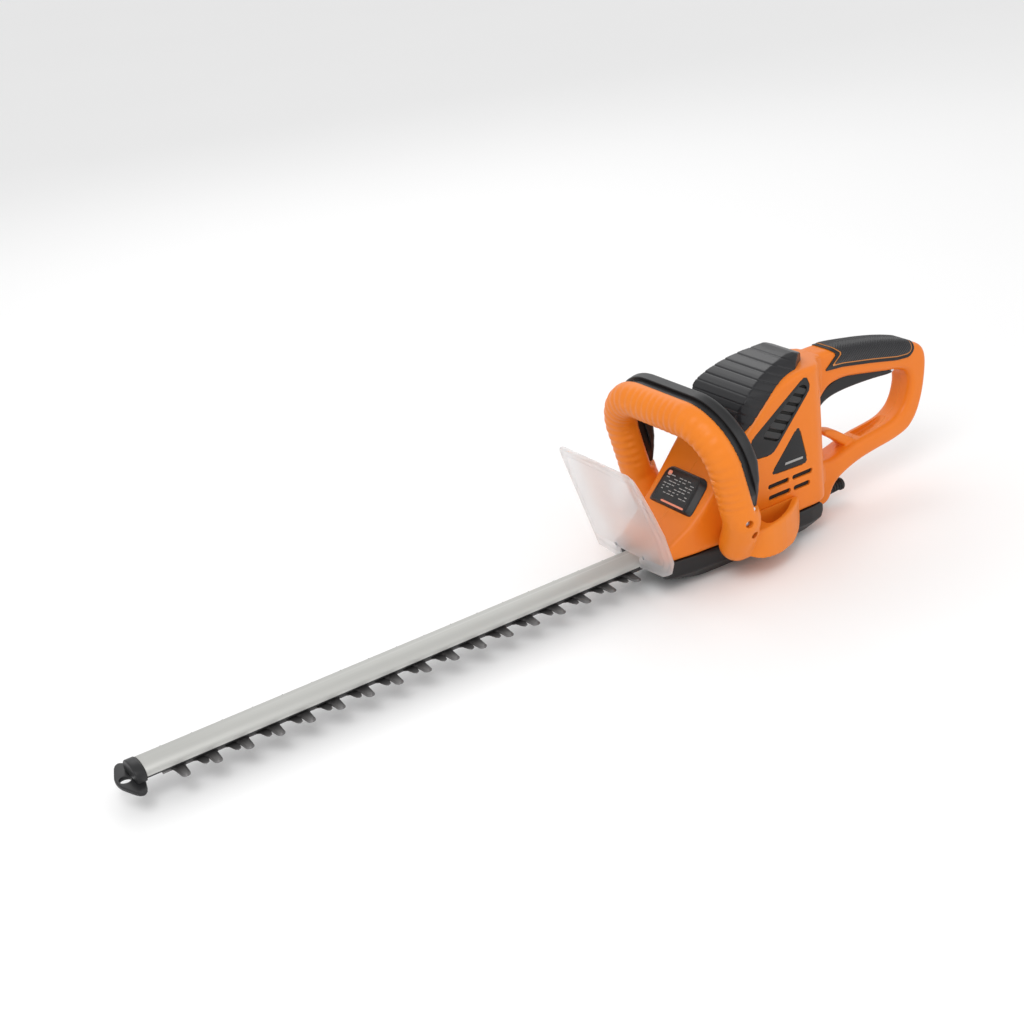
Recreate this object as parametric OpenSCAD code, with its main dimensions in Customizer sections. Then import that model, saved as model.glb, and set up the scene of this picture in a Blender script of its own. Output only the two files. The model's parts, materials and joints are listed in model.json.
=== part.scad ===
// Corded hedge trimmer, as an assembly of its separate pieces.
// Frame: origin at the centre of the flat sole, blade towards -X, rear handle towards +X, +Z up.

/* [Blade] */
// Distance from one long tooth to the next
tooth_pitch = 30; // [24:1:38]
// Number of long teeth on each side
tooth_count = 17; // [10:1:20]
// Half width of the comb's back, which carries the teeth
comb_half_w = 9.6; // [8:0.1:11]
// Reach of the blunt long teeth from the centre line
long_reach = 31; // [26:0.5:36]
// Reach of the ground short teeth from the centre line
short_reach = 23; // [19:0.5:25]
// How far ahead of each long tooth the short tooth rests
short_lead = 8.5; // [6:0.5:11]
// Thickness of each comb
comb_t = 1.8; // [1.5:0.1:2.4]
// Height of the plane between the two combs above the sole
blade_z = 23.25; // [22:0.05:24]
// Throw of each eccentric, half the stroke of a comb
throw = 5; // [3.5:0.1:6]

/* [Beam and tip] */
// Half width of the half-round aluminium beam
beam_half_w = 15; // [13:0.5:17]
// Height of the beam's rounded top above its flat flanks
beam_crown = 7.5; // [6:0.5:9]
// Height of the dark strip that carries the combs
strip_h = 3; // [2.5:0.1:4]
// Radius of the hanging hole in the tip guard
hang_r = 5; // [4:0.25:6]
// Half width of the tip guard
tip_half_w = 30; // [26:0.5:34]

/* [Housing] */
// Length of the flat sole
sole_len = 130; // [110:1:160]
// Half width of the housing at the motor
body_half_w = 45; // [42:0.5:54]
// Wall of the plastic shells
wall = 2.6; // [2:0.1:3.2]
// Height of the line between the base cover and the housing
seam_z = 32; // [31:0.5:34]
// Half thickness of the rear handle
grip_half_w = 16; // [14:0.5:19]
// Radius of the hole through the cord gland
cord_r = 3.7; // [3:0.1:4.5]

/* [Front handle] */
// Half width of the loop between its tube centres
loop_half_w = 80.7; // [68:0.5:96]
// Height of the loop's top tube centre above the switch bar's pins
loop_rise = 88; // [74:1:104]
// Radius of the loop's tube
loop_r = 18.6; // [16:0.2:21]
// Bend radius of the loop's shoulders
loop_bend = 45; // [40:1:52]
// Forward lean of the loop
loop_lean = 13.3; // [8:0.1:18]
// Travel of the front switch bar at its top
bar_travel = 4.2; // [3:0.1:5]

/* [Hand guard] */
// Half width of the hand guard
guard_half_w = 66; // [55:1:80]
// Height of the hand guard along its lean
guard_h = 121; // [100:1:135]
// Thickness of the clear sheet
guard_t = 2.6; // [2:0.1:3.5]

/* [Drive] */
// Gear module
gear_m = 1.25; // [1.1:0.05:1.3]
// Teeth on the pinion
pinion_teeth = 12; // [12:1:14]
// Teeth on the crank gear
gear_teeth = 48; // [44:2:50]
// Radius of both shafts
shaft_r = 4; // [3.5:0.1:4.5]
// Radius of the stator stack
stator_r = 36; // [32:0.5:37]
// Height of the stator stack
stator_h = 44; // [36:1:48]

/* [Fits] */
// Gap between pieces of different bodies
gap = 0.3; // [0.3:0.05:0.4]
// Radial gap of a shaft in its bush
run_gap = 0.05; // [0.03:0.01:0.08]
// Gap between fixed pieces
seat = 0.15; // [0.1:0.05:0.25]

/* [Hidden] */
$fn = 48;
slip = 0.02;
big = 400;

// Places along the machine
sole_half = sole_len/2;
nose_x = -sole_half - 50;
last_tooth_x = nose_x - 28;
first_tooth_x = last_tooth_x - (tooth_count - 1)*tooth_pitch;
comb_front_x = first_tooth_x - 14;
beam_front_x = comb_front_x - throw - 10;
beam_rear_x = -46;
tip_x = beam_front_x - 23;
crank_x = 0;
motor_x = crank_x + gear_m*(pinion_teeth + gear_teeth)/2;

// Heights of the comb stack
lower_comb_z = blade_z - gap/2 - comb_t;
upper_comb_z = blade_z + gap/2;
strip_z = upper_comb_z + comb_t + gap;
beam_z = strip_z + strip_h + seat;
beam_flank_h = 2.4;
beam_top_z = beam_z + beam_flank_h + beam_crown;
washer_t = 1;
washer_z = lower_comb_z - gap - washer_t;
bolt_r = 2.5;
bolt_head_h = 1.8;
bush_r = 4;
bolt_count = 5;
bolt_first_x = first_tooth_x + 20;
bolt_step = (nose_x + 30 - bolt_first_x)/(bolt_count - 1);
nut_z = beam_z + 1.6;
nut_h = 3.6;
nut_r = 4.6;

// Heights of the drive
ecc_r = shaft_r + throw + 1;
ecc_t = comb_t;
play = throw*0.211 + 0.25;
gear_z = beam_top_z - 1.5;
gear_t = 8;
plate_z = gear_z + gear_t + 4;
plate_t = 4;
base_plate_z = 12;
base_plate_t = 3;
pillar_z = base_plate_z + base_plate_t;
plate_half_w = body_half_w - wall - 1;
bush_t = 5;
bearing_r = 11;
bearing_t = 7;
fan_z = plate_z + plate_t + 6;
fan_h = 12;
fan_r = stator_r - 3;
stator_z = fan_z + fan_h + 10;
winding_rise = 7;
stator_bore = 21.5;
rotor_r = stator_bore - 0.6;
comm_z = stator_z + stator_h + 13;
comm_h = 13;
comm_r = 11;
top_bearing_z = comm_z + comm_h + 9;
shaft_top_z = top_bearing_z + bearing_t - 0.5;

// Outline of the housing in side view: nose, seat of the motor cover, top, rear handle, tail
body_back_x = sole_half + 23;
gland_r = cord_r + 3.2;
gland_x = 122;
gland_z = 17;
seat_line = [[-16, 132], [-2, 143], [17, 161], [37, 175], [58, 182], [96, 182]];
handle_line = concat(
    [[100, 180], [127, 176.5], [149, 174], [194, 165.5], [223, 159]],
    arc(245, 129, 23, 76, -12, 6),
    [[266, 108], [261, 90], [254, 73], [247, 62], [237, 54], [216, 49.5], [191, 47.5], [168, 44],
     [148, 38], [136, seam_z]]
);
outline = concat(
    [[nose_x, seam_z], [nose_x + 2, seam_z + 12], [nose_x + 38, 68], [-46, 99]],
    seat_line,
    handle_line
);
handle_bevel = 6.5;
bevel_reach = 9;
tail = [[body_back_x, seam_z + 2], [129, seam_z + 2], [127, 28], [121, 9], [104, 9], [body_back_x + 3, 15],
    [body_back_x + 1, seam_z]];
hand_hole = [
    [108, 78], [106, 100], [107, 114], [113, 125], [124, 137], [134, 141], [151, 142], [173, 138],
    [202, 132], [227, 126], [238, 119], [242, 109], [239, 95], [233, 83], [226, 76], [215, 71],
    [196, 68.5], [169, 66], [150, 61], [128, 60], [114, 66]
];
hook = [[126, 82], [125, 85], [128, 87], [137, 86], [148, 80], [158, 73], [168, 66.4],
    [160, 61], [152, 69], [144, 76], [136, 80]];
body_cavity = [
    [nose_x + 4, seam_z - 1], [nose_x + 4, seam_z + 10], [nose_x + 42, 66], [-43, 96.6], [-14, 129.5],
    [0.4, 140.6], [18.7, 158.3], [38, 172.2], [58.4, 179.2], [98, 178], [103, 130], [103, 70],
    [112, 56], [126, 40], [126, seam_z - 1]
];
grip_cavity = [
    [95, 150], [95, 177], [127, 173], [149, 170.5], [194, 162], [223, 155.5], [248, 147],
    [261, 136], [261, 118], [248, 118], [238, 125], [202, 136], [173, 142], [151, 146], [134, 145], [116, 136]
];
plan = [
    [nose_x, 36], [nose_x + 34, body_half_w - 3], [-36, body_half_w], [80, body_half_w],
    [94, body_half_w - 9], [106, grip_half_w + 5], [118, grip_half_w], [290, grip_half_w]
];

// Rear handle and trigger
trigger_pivot = [220, 129];
trigger_half_w = 9;
trigger_outline = [
    [112, 112], [115, 121], [122, 132], [134, 138], [152, 143], [160, 151], [172, 151], [178, 142],
    [202, 137], [220, 134], [225, 131], [226, 125], [220, 123], [199, 125], [176, 126], [153, 126],
    [134, 124], [122, 119], [117, 112]
];
spring_z = 152;

// Front handle, in its own leaning frame with the origin between the switch bar's pins
loop_x = -54.5;
loop_z = 88.5;
channel_r = loop_r - 4;
loop_rear = 8;
bar_r = channel_r - 1;
bar_front = 0;
channel_front = bar_front - bar_travel - 3.8;
bar_rear = 27;
bar_head_half = 18;
bar_end_drop = 6;
pin_r = 2;
bar_pin = [5, 0];
foot_z0 = 18;
foot_z1 = 54;
foot_in = body_half_w + seat;
foot_screws = [[-56, 76], [-47, 60]];
foot_screw_seats = [foot_in + 48.5, foot_in + 42];

// Hand guard, in its own leaning frame with the origin on the centre line at its foot
guard_x = nose_x - 12;
guard_lean = 14.8;
guard_fold = 25;
guard_flat = guard_half_w - 15;
guard_top = guard_flat + 9;
guard_splay = atan2(guard_top - guard_flat, guard_h - 5);
guard_screw = [22, 41];

// Side windows of the housing
grille = [[-6, 129], [70, 177], [76, 162], [22, 107], [-3, 109]];
grille_t = 3;
badge = [[17, 85], [68, 83], [58, 128]];
badge_t = 1.4;
slots = [[14, 70.5, 28], [46, 70.5, 27], [14, 58.5, 29], [47, 58.5, 22]];
slot_h = 5.5;
boss_r = 4.2;
screw_r = 1.9;
screw_grip = 10;
housing_bosses = [
    [-96, 47], [-62, 71], [-46, 45], [84, 60], [94, 104], [128, 38], [243, 65], [256, 132], [195, 55.5]
];
base_bosses = [[-100, 22], [-100, -22], [80, 24], [80, -24]];

// Points of an arc from angle a0 to a1
function arc(cx, cy, r, a0, a1, n) =
    [for (i = [0:n]) let (a = a0 + (a1 - a0)*i/n) [cx + r*cos(a), cy + r*sin(a)]];
// A list of points mirrored in Y and reversed, so that the two join into one outline
function other_half(p) = [for (i = [len(p) - 1:-1:0]) [p[i][0], -p[i][1]]];
// Involute tooth: point on the flank at radius r, for base radius b
function inv(a) = tan(a)*180/PI - a;
function flank(r, b, pitch_r, half) =
    let (a = acos(min(1, b/r)), a0 = acos(b/pitch_r)) half + inv(a0) - inv(a);

// Extrude an outline drawn in X and Z from y0 to y1
module across(y0, y1) translate([0, y1, 0]) rotate([90, 0, 0]) linear_extrude(y1 - y0) children();
// Extrude an outline drawn in Y and Z from x0 to x1
module along(x0, x1) translate([x0, 0, 0]) rotate([90, 0, 90]) linear_extrude(x1 - x0) children();
// Extrude an outline drawn in X and Y from z0 to z1
module up(z0, z1) translate([0, 0, z0]) linear_extrude(z1 - z0) children();
// Round bar along Y at a point in X and Z
module bar_y(p, r, y0, y1) translate([p[0], y0, p[1]]) rotate([-90, 0, 0]) cylinder(r = r, h = y1 - y0);
module bar_x(p, r, x0, x1) translate([x0, p[0], p[1]]) rotate([0, 90, 0]) cylinder(r = r, h = x1 - x0);
module tube_z(r, bore, z0, z1) translate([0, 0, z0]) difference() {
    cylinder(r = r, h = z1 - z0);
    translate([0, 0, -1]) cylinder(r = bore, h = z1 - z0 + 2);
}
module block(x0, x1, y0, y1, z0, z1) translate([x0, y0, z0]) cube([x1 - x0, y1 - y0, z1 - z0]);
module both_sides() {
    children();
    mirror([0, 1, 0]) children();
}
module at_bolts() for (i = [0:bolt_count - 1]) translate([bolt_first_x + i*bolt_step, 0, 0]) children();
module leaning_loop() translate([loop_x, 0, loop_z]) rotate([0, -loop_lean, 0]) children();
module leaning_guard() translate([guard_x, 0, blade_z + 8]) rotate([0, -guard_lean, 0]) children();

// ---- Housing ----
module plan_shape(inset) polygon(concat(
    [for (p = plan) [p[0], p[1] - inset]],
    [for (i = [len(plan) - 1:-1:0]) [plan[i][0], -(plan[i][1] - inset)]]
));

// Cut both long edges of the rear handle at 45 degrees, one flat for each side of its outline
module handle_bevels(out) for (i = [0:len(handle_line) - 2])
    let (a = handle_line[i], d = handle_line[i + 1] - a, cut = out*sqrt(2) - handle_bevel - bevel_reach)
        both_sides() translate([a[0], grip_half_w, a[1]]) rotate([0, -atan2(d[1], d[0]), 0])
            along(-0.5, norm(d) + 0.5)
                polygon([[cut, bevel_reach], [bevel_reach, cut], [bevel_reach, bevel_reach]]);

module housing_solid() {
    difference() {
        intersection() {
            across(-big/4, big/4) polygon(outline);
            up(0, 220) plan_shape(0);
        }
        handle_bevels(0);
    }
    // Narrow tail that holds the cord gland
    across(-grip_half_w, grip_half_w) polygon(tail);
}

module motor_space() {
    // The motor cover's own room above the seat line
    across(-(body_half_w - 6 - wall), body_half_w - 6 - wall) polygon(concat(
        [[-11, 118]], [[-11, 150], [58, 200], [92, 190], [92, 150], [64, 118]]));
}

module housing_shell() difference() {
    housing_solid();
    intersection() {
        across(-big/4, big/4) polygon(body_cavity);
        up(0, 220) plan_shape(wall);
    }
    across(-(grip_half_w - wall), grip_half_w - wall) polygon(grip_cavity);
    across(-big/4, big/4) polygon(hand_hole);
    motor_space();
    // Slot for the beam in the nose
    block(nose_x - 1, nose_x + 6, -beam_half_w - 0.5, beam_half_w + 0.5, seam_z - 1, beam_top_z + 0.5);
    // Slot for the trigger
    across(-trigger_half_w - gap, trigger_half_w + gap) polygon([
        [105, 106], [110, 136], [124, 146], [148, 156], [182, 156], [230, 144], [230, 120], [200, 118]]);
    // Side windows
    both_sides() {
        across(body_half_w - wall - 1, body_half_w + 1) polygon(grille);
        across(body_half_w - badge_t, body_half_w + 1) polygon(badge);
        for (s = slots)
            block(s[0], s[0] + s[2], body_half_w - wall - 1, body_half_w + 1, s[1], s[1] + slot_h);
        for (p = foot_screws) bar_y(p, screw_r, body_half_w - wall - 3, body_half_w + 1);
    }
    for (y = [-guard_screw[0], guard_screw[0]]) bar_x([y, guard_screw[1]], screw_r, nose_x - 1, nose_x + 9);
    // Cord gland's hole in the tail
    bar_x([0, gland_z], gland_r + seat, gland_x - 12, gland_x + 8);
}

module housing_half(side) mirror([0, side < 0 ? 1 : 0, 0]) difference() {
    union() {
        intersection() {
            housing_shell();
            block(-big, big, 0, big, 0, big);
        }
        for (p = housing_bosses) intersection() {
            bar_y(p, boss_r, 0, body_half_w - 1);
            housing_solid();
        }
        // Tongue of the cord hook
        across(0, 7) polygon(hook);
    }
    // The right half takes the screws' heads, the left half has blind holes
    for (p = housing_bosses) bar_y(p, screw_r, -1, side < 0 ? screw_grip : body_half_w + 1);
    if (side > 0) for (p = housing_bosses) bar_y(p, 3.6, boss_depth(p), body_half_w + 1);
    bar_y(trigger_pivot, 2 + slip, -1, grip_half_w - 4);
}
// Depth at which a screw's head seats, 4 mm under the outer face at that point
function boss_depth(p) = (p[0] > 120 ? grip_half_w : p[0] < -70 ? 37 : p[0] > 90 ? 34 : body_half_w) - 4;

module housing_left() color([0.94, 0.48, 0.1]) housing_half(-1);
module housing_right() color([0.94, 0.48, 0.1]) housing_half(1);

module housing_screws() color([0.75, 0.75, 0.78]) for (p = housing_bosses) {
    bar_y(p, screw_r - slip, slip - screw_grip, boss_depth(p) + slip);
    bar_y(p, 3.4, boss_depth(p) + slip, boss_depth(p) + 2.2);
}

sole_half_w = body_half_w - 15;
base_outline = [
    [nose_x - 2, seam_z - seat], [nose_x - 2, 16], [-sole_half - 22, 7], [-sole_half, 0],
    [sole_half, 0], [sole_half + 11, 5], [body_back_x, 20], [body_back_x, seam_z - seat]
];
base_cavity = [
    [nose_x + 2, seam_z + 1], [nose_x + 2, 18], [-sole_half - 21, 10], [-sole_half, wall],
    [sole_half - 1, wall], [sole_half + 8, 8], [body_back_x - 3, 21], [body_back_x - 3, seam_z + 1]
];

module base_cover() color([0.1, 0.1, 0.11]) difference() {
    union() {
        difference() {
            intersection() {
                across(-big/4, big/4) polygon(base_outline);
                up(-1, 60) plan_shape(-0.01);
                along(-big, big) polygon([[-sole_half_w, -1], [sole_half_w, -1], [sole_half_w, 0],
                    [body_half_w + 1, 16], [body_half_w + 1, 60], [-body_half_w - 1, 60],
                    [-body_half_w - 1, 16], [-sole_half_w, 0]]);
            }
            intersection() {
                across(-big/4, big/4) polygon(base_cavity);
                up(-1, 60) plan_shape(wall);
                along(-big, big) polygon([[-sole_half_w + 1, wall], [sole_half_w - 1, wall],
                    [body_half_w - wall, 17], [body_half_w - wall, 60], [-body_half_w + wall, 60],
                    [-body_half_w + wall, 17]]);
            }
        }
        for (p = base_bosses) translate([p[0], p[1], 0]) intersection() {
            cylinder(r = boss_r, h = seam_z - seat);
            translate([-p[0], -p[1], 0]) across(-big/4, big/4) polygon(base_outline);
        }
    }
    // Slot where the combs and the beam leave
    block(nose_x - 3, nose_x + 8, -beam_half_w - 1.5, beam_half_w + 1.5, washer_z - 1, seam_z + 1);
    for (p = base_bosses) translate([p[0], p[1], -1]) cylinder(r = screw_r, h = seam_z + 2);
    for (p = base_bosses) translate([p[0], p[1], -1]) cylinder(r = 3.6, h = 17);
}

module base_screws() color([0.75, 0.75, 0.78]) for (p = base_bosses) translate([p[0], p[1], 0]) {
    translate([0, 0, 16 - 2.2]) cylinder(r = 3.4, h = 2.2 - slip);
    translate([0, 0, 15]) cylinder(r = screw_r - slip, h = seam_z - 16);
}

// ---- Motor cover and trims ----
dome = concat(
    [[-16, 132 + seat], [-13, 158], [-5, 171], [8, 180]],
    [[28, 188.5], [50, 193], [72, 195], [83, 192], [91, 187], [94, 182 + seat]],
    [for (i = [len(seat_line) - 2:-1:1]) [seat_line[i][0], seat_line[i][1] + seat]]
);
dome_cavity = [
    [-16 + wall, 122], [-10.4, 157], [-3, 169], [9, 177.6],
    [29, 185.6], [50, 190.2], [72, 192.2], [81, 189.4], [88, 184.6], [90, 170], [90, 122]
];
dome_half_w = body_half_w - 3;
dome_bend = 37;
dome_front_x = -17;
dome_back_x = 94;
dome_top = 195.5;
dome_round = 28;
module dome_plan(inset) polygon(concat(
    arc(dome_front_x + dome_bend, dome_half_w - dome_bend, dome_bend - inset, 90, 180, 8),
    arc(dome_front_x + dome_bend, -dome_half_w + dome_bend, dome_bend - inset, 180, 270, 8),
    arc(dome_back_x - dome_bend, -dome_half_w + dome_bend, dome_bend - inset, 270, 360, 8),
    arc(dome_back_x - dome_bend, dome_half_w - dome_bend, dome_bend - inset, 0, 90, 8)));
module dome_front(half, top, r) polygon(concat(
    [[-half, 100], [half, 100]],
    arc(half - r, top - r, r, 0, 90, 8),
    arc(-(half - r), top - r, r, 90, 180, 8)));

module motor_cover() color([0.12, 0.12, 0.13]) difference() {
    intersection() {
        across(-dome_half_w, dome_half_w) polygon(dome);
        up(90, 210) dome_plan(0);
        along(-60, 140) dome_front(dome_half_w, dome_top, dome_round);
    }
    intersection() {
        across(-dome_half_w, dome_half_w) polygon(dome_cavity);
        up(90, 210) dome_plan(wall);
        along(-60, 140) dome_front(dome_half_w - wall, dome_top - wall, dome_round - wall);
    }
}

// Raised block on the nose's slope
module label_panel() color([0.13, 0.13, 0.14]) translate([nose_x + 38, 0, 68])
    rotate([0, -atan2(99 - 68, -46 - (nose_x + 38)), 0]) intersection() {
        block(0, 42, -34, 34, seat, 5);
        along(-5, 60) polygon([[-33, 0], [33, 0], [26, 5], [-26, 5]]);
    }

// A window outline pulled in towards its own middle
module pulled_in(p, by) {
    middle = [for (k = [0, 1]) sum([for (q = p) q[k]])/len(p)];
    polygon([for (q = p) let (v = q - middle) middle + v*(1 - by/norm(v))]);
}
function sum(v, i = 0) = i < len(v) ? v[i] + sum(v, i + 1) : 0;
insert_gap = 0.4;
grille_rim = 7;
louvres = 7;
louvre_first = [22, 122.4];
louvre_step = [7.6, 7.1];
louvre_tilt = 26;
louvre_open = 3.4;

module vent_grille(side) mirror([0, side < 0 ? 1 : 0, 0]) color([0.1, 0.1, 0.11]) difference() {
    across(body_half_w - grille_t, body_half_w + 0.4) pulled_in(grille, insert_gap);
    // Slots that slope down to the rear, each as long as the frame leaves room for
    across(body_half_w - grille_t - 1, body_half_w + 1) intersection() {
        pulled_in(grille, grille_rim);
        for (i = [0:louvres - 1])
            translate(louvre_first + i*louvre_step) rotate(-louvre_tilt)
                square([60, louvre_open], center = true);
    }
}
module vent_grille_left() vent_grille(-1);
module vent_grille_right() vent_grille(1);

module badge_plate(side) mirror([0, side < 0 ? 1 : 0, 0]) color([0.15, 0.15, 0.16])
    across(body_half_w - badge_t + slip, body_half_w + 0.3) pulled_in(badge, insert_gap);
module badge_left() badge_plate(-1);
module badge_right() badge_plate(1);

// ---- Front handle ----
// Section of the loop: x is out in the loop's plane, y is along the machine, rear positive
module loop_section() difference() {
    intersection() {
        circle(r = loop_r);
        translate([-30, -30]) square([60, 30 + loop_rear]);
    }
    intersection() {
        circle(r = channel_r);
        translate([-30, channel_front]) square([60, 60]);
    }
    translate([-channel_r, bar_front]) square([2*channel_r, 60]);
}
bar_neck = loop_rear + 1.25*bar_travel + gap + 0.3;
module bar_section() polygon([
    [-bar_r, bar_front], [bar_r, bar_front], [bar_r, bar_neck], [bar_head_half, bar_neck],
    [bar_head_half, bar_rear - 7], [bar_head_half - 7, bar_rear], [-bar_head_half + 7, bar_rear],
    [-bar_head_half, bar_rear - 7], [-bar_head_half, bar_neck], [-bar_r, bar_neck]]);
// Sweep a section along the loop: straight legs, two bends and the top
module loop_sweep(leg) {
    side = loop_half_w - loop_bend;
    rise = loop_rise - loop_bend;
    both_sides() {
        translate([0, loop_half_w, -leg]) rotate([0, 0, 90])
            linear_extrude(rise + leg) mirror([0, 1]) children();
        translate([0, side, rise]) rotate([90, 0, 0]) rotate([0, 90, 0])
            rotate_extrude(angle = 90) translate([loop_bend, 0]) children();
    }
    translate([0, -side, loop_rise]) rotate([-90, 0, 0]) linear_extrude(2*side)
        rotate(-90) children();
}
foot_out = foot_in + 38;
foot_plan = [
    [-52, foot_in], [-52, foot_in + 14], [-50, foot_in + 25], [-44, foot_in + 33], [-32, foot_out],
    [-18, foot_out], [4, foot_out - 5], [24, foot_out - 14], [40, foot_out - 25], [50, foot_in + 4],
    [50, foot_in]
];
foot_side = [
    [-55, foot_z1], [-54, 44], [-47, 33], [-34, 25], [-10, 20], [25, foot_z0],
    [44, 23], [51, 38], [50, foot_z1]
];
pocket_plan = [
    [-14, foot_in + 4], [-14, foot_out - 6], [2, foot_out - 9], [20, foot_out - 18],
    [36, foot_out - 30], [42, foot_in + 4]
];

// Lower leg, a rod with a ball at each end, from the straight of the loop down into the foot
knee_drop = 15;
leg_top = [loop_x + knee_drop*sin(loop_lean), loop_half_w, loop_z - knee_drop*cos(loop_lean)];
leg_foot = [loop_x + 8, foot_in + 19, foot_z1 - 13];
module handle_leg() {
    d = leg_foot - leg_top;
    // The knee's ball stays under the switch bar's channel
    leaning_loop() translate([0, loop_half_w, -knee_drop]) intersection() {
        sphere(r = loop_r + 0.3);
        translate([0, 0, -big]) cylinder(r = big, h = big + knee_drop - bar_end_drop - 0.5);
    }
    translate(leg_top) rotate([0, acos(d[2]/norm(d)), atan2(d[1], d[0])])
        cylinder(r = loop_r - 0.2, h = norm(d));
    translate(leg_foot) sphere(r = loop_r + 0.1);
}

module front_handle() color([0.94, 0.48, 0.1]) difference() {
    union() {
        leaning_loop() loop_sweep(bar_end_drop) loop_section();
        leaning_loop() both_sides()
            translate([0, loop_half_w, -knee_drop]) cylinder(r = loop_r, h = knee_drop - bar_end_drop);
        both_sides() {
            handle_leg();
            difference() {
                intersection() {
                    up(0, foot_z1) polygon(foot_plan);
                    across(0, big/2) polygon(foot_side);
                }
                up(30, foot_z1 + 1) polygon(pocket_plan);
            }
        }
    }
    both_sides() for (i = [0, 1]) {
        bar_y(foot_screws[i], screw_r, foot_in - 1, foot_screw_seats[i] + 1);
        bar_y(foot_screws[i], 3.8, foot_screw_seats[i], foot_screw_seats[i] + 15);
    }
    both_sides() leaning_loop()
        bar_y(bar_pin, pin_r + slip, loop_half_w - loop_r - 1, loop_half_w + loop_r + 1);
    block(-120, 80, -foot_in, foot_in, 0, 75);
}

module front_handle_screws() color([0.78, 0.78, 0.8]) both_sides() for (i = [0, 1]) {
    bar_y(foot_screws[i], screw_r - slip, foot_in - 8, foot_screw_seats[i] + 1);
    bar_y(foot_screws[i], 3.6, foot_screw_seats[i] + slip, foot_screw_seats[i] + 2.4);
}

module front_switch_bar() color([0.1, 0.1, 0.11]) leaning_loop() difference() {
    intersection() {
        loop_sweep(bar_end_drop - 1.5) bar_section();
        // The bar tapers to its ends
        across(-big/2, big/2)
            polygon([[-10, -20], [bar_neck + 1, -20], [bar_rear, 42], [bar_rear, 160], [-10, 160]]);
    }
    both_sides() bar_y(bar_pin, pin_r + run_gap, loop_half_w - loop_r, loop_half_w + loop_r);
}
module switch_bar_pins() color([0.75, 0.75, 0.78]) leaning_loop() both_sides()
    bar_y(bar_pin, pin_r, loop_half_w - loop_r + 1.5, loop_half_w + loop_r - 1.5);

bar_spring_front = channel_front + 0.05;
module switch_bar_springs() color([0.7, 0.7, 0.72]) leaning_loop() both_sides()
    translate([bar_spring_front, 24, loop_rise]) rotate([0, 90, 0])
        tube_z(3.2, 2.4, 0, bar_front - 0.05 - bar_spring_front);

module front_switch() color([0.15, 0.15, 0.16]) leaning_loop()
    block(bar_spring_front, bar_front - bar_travel - 0.5, -10, 10, loop_rise - 5, loop_rise + 5);

// ---- Hand guard ----
module hand_guard() color([0.9, 0.92, 0.93, 0.5]) difference() {
    union() {
        leaning_guard() {
            along(-guard_t, 0) polygon([
                [-guard_flat, 0], [-17, -4], [17, -4], [guard_flat, 0],
                [guard_top, guard_h - 5], [guard_top - 5, guard_h], [-guard_top + 5, guard_h],
                [-guard_top, guard_h - 5]]);
            // Wings folded back at both sides
            both_sides() translate([0, guard_flat, 0]) rotate([-guard_splay, 0, -guard_fold])
                along(-guard_t, 0) polygon([[-0.5, 0], [12, 5], [17, 18], [15, 50], [3, guard_h - 14],
                    [-0.5, guard_h - 6]]);
        }
        // Bosses that stand on the nose
        for (y = [-guard_screw[0], guard_screw[0]]) bar_x([y, guard_screw[1]], 6, guard_x - 4, nose_x - seat);
    }
    // Room for the beam and the combs
    block(guard_x - 20, nose_x + 1, -beam_half_w - 1, beam_half_w + 1, washer_z - 12, beam_top_z + 1);
    for (y = [-guard_screw[0], guard_screw[0]]) {
        bar_x([y, guard_screw[1]], screw_r, guard_x - 30, nose_x + 1);
        bar_x([y, guard_screw[1]], 3.6, guard_x - 30, guard_x);
    }
}
module guard_screws() color([0.75, 0.75, 0.78]) for (y = [-guard_screw[0], guard_screw[0]]) {
    bar_x([y, guard_screw[1]], screw_r - slip, guard_x, nose_x + 8);
    bar_x([y, guard_screw[1]], 3.4, guard_x - 2.4, guard_x - slip);
}

// ---- Beam and combs ----
module beam_profile() difference() {
    polygon(concat(
        [[-beam_half_w, beam_z], [beam_half_w, beam_z]],
        [for (a = [0:12:180]) [beam_half_w*cos(a), beam_z + beam_flank_h + beam_crown*sin(a)]]));
    translate([-nut_r - 0.4, nut_z]) square([2*nut_r + 0.8, nut_h + 0.6]);
}
module blade_beam() color([0.75, 0.76, 0.77]) difference() {
    along(beam_front_x, beam_rear_x) beam_profile();
    at_bolts() translate([0, 0, beam_z - 1]) cylinder(r = bolt_r + slip, h = nut_z - beam_z + 2);
}
module blade_strip() color([0.12, 0.12, 0.12]) difference() {
    block(beam_front_x, beam_rear_x, -beam_half_w + 2.5, beam_half_w - 2.5, strip_z, strip_z + strip_h);
    at_bolts() translate([0, 0, strip_z - 1]) cylinder(r = bush_r + slip, h = strip_h + 2);
}
module beam_end_cap() color([0.1, 0.1, 0.11]) along(beam_front_x - 10, beam_front_x - seat) polygon(concat(
    [[-beam_half_w - 1, strip_z], [beam_half_w + 1, strip_z]],
    [for (a = [0:12:180]) [(beam_half_w + 1)*cos(a), beam_z + beam_flank_h + (beam_crown + 0.8)*sin(a)]]));
tip_top_z = strip_z - seat;
tip_half = [
    [beam_front_x - 1, comb_half_w + 1], [beam_front_x - 2, 14], [beam_front_x - 5, tip_half_w - 5],
    [beam_front_x - 8, tip_half_w - 1], [beam_front_x - 11, tip_half_w],
    [beam_front_x - 15, tip_half_w - 3], [tip_x + 4, 17], [tip_x, 6]
];
module tip_guard() color([0.1, 0.1, 0.11]) difference() {
    up(lower_comb_z, tip_top_z) polygon(concat(tip_half, other_half(tip_half)));
    translate([tip_x + 8, 0, 0]) cylinder(r = hang_r, h = 60);
}

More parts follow.
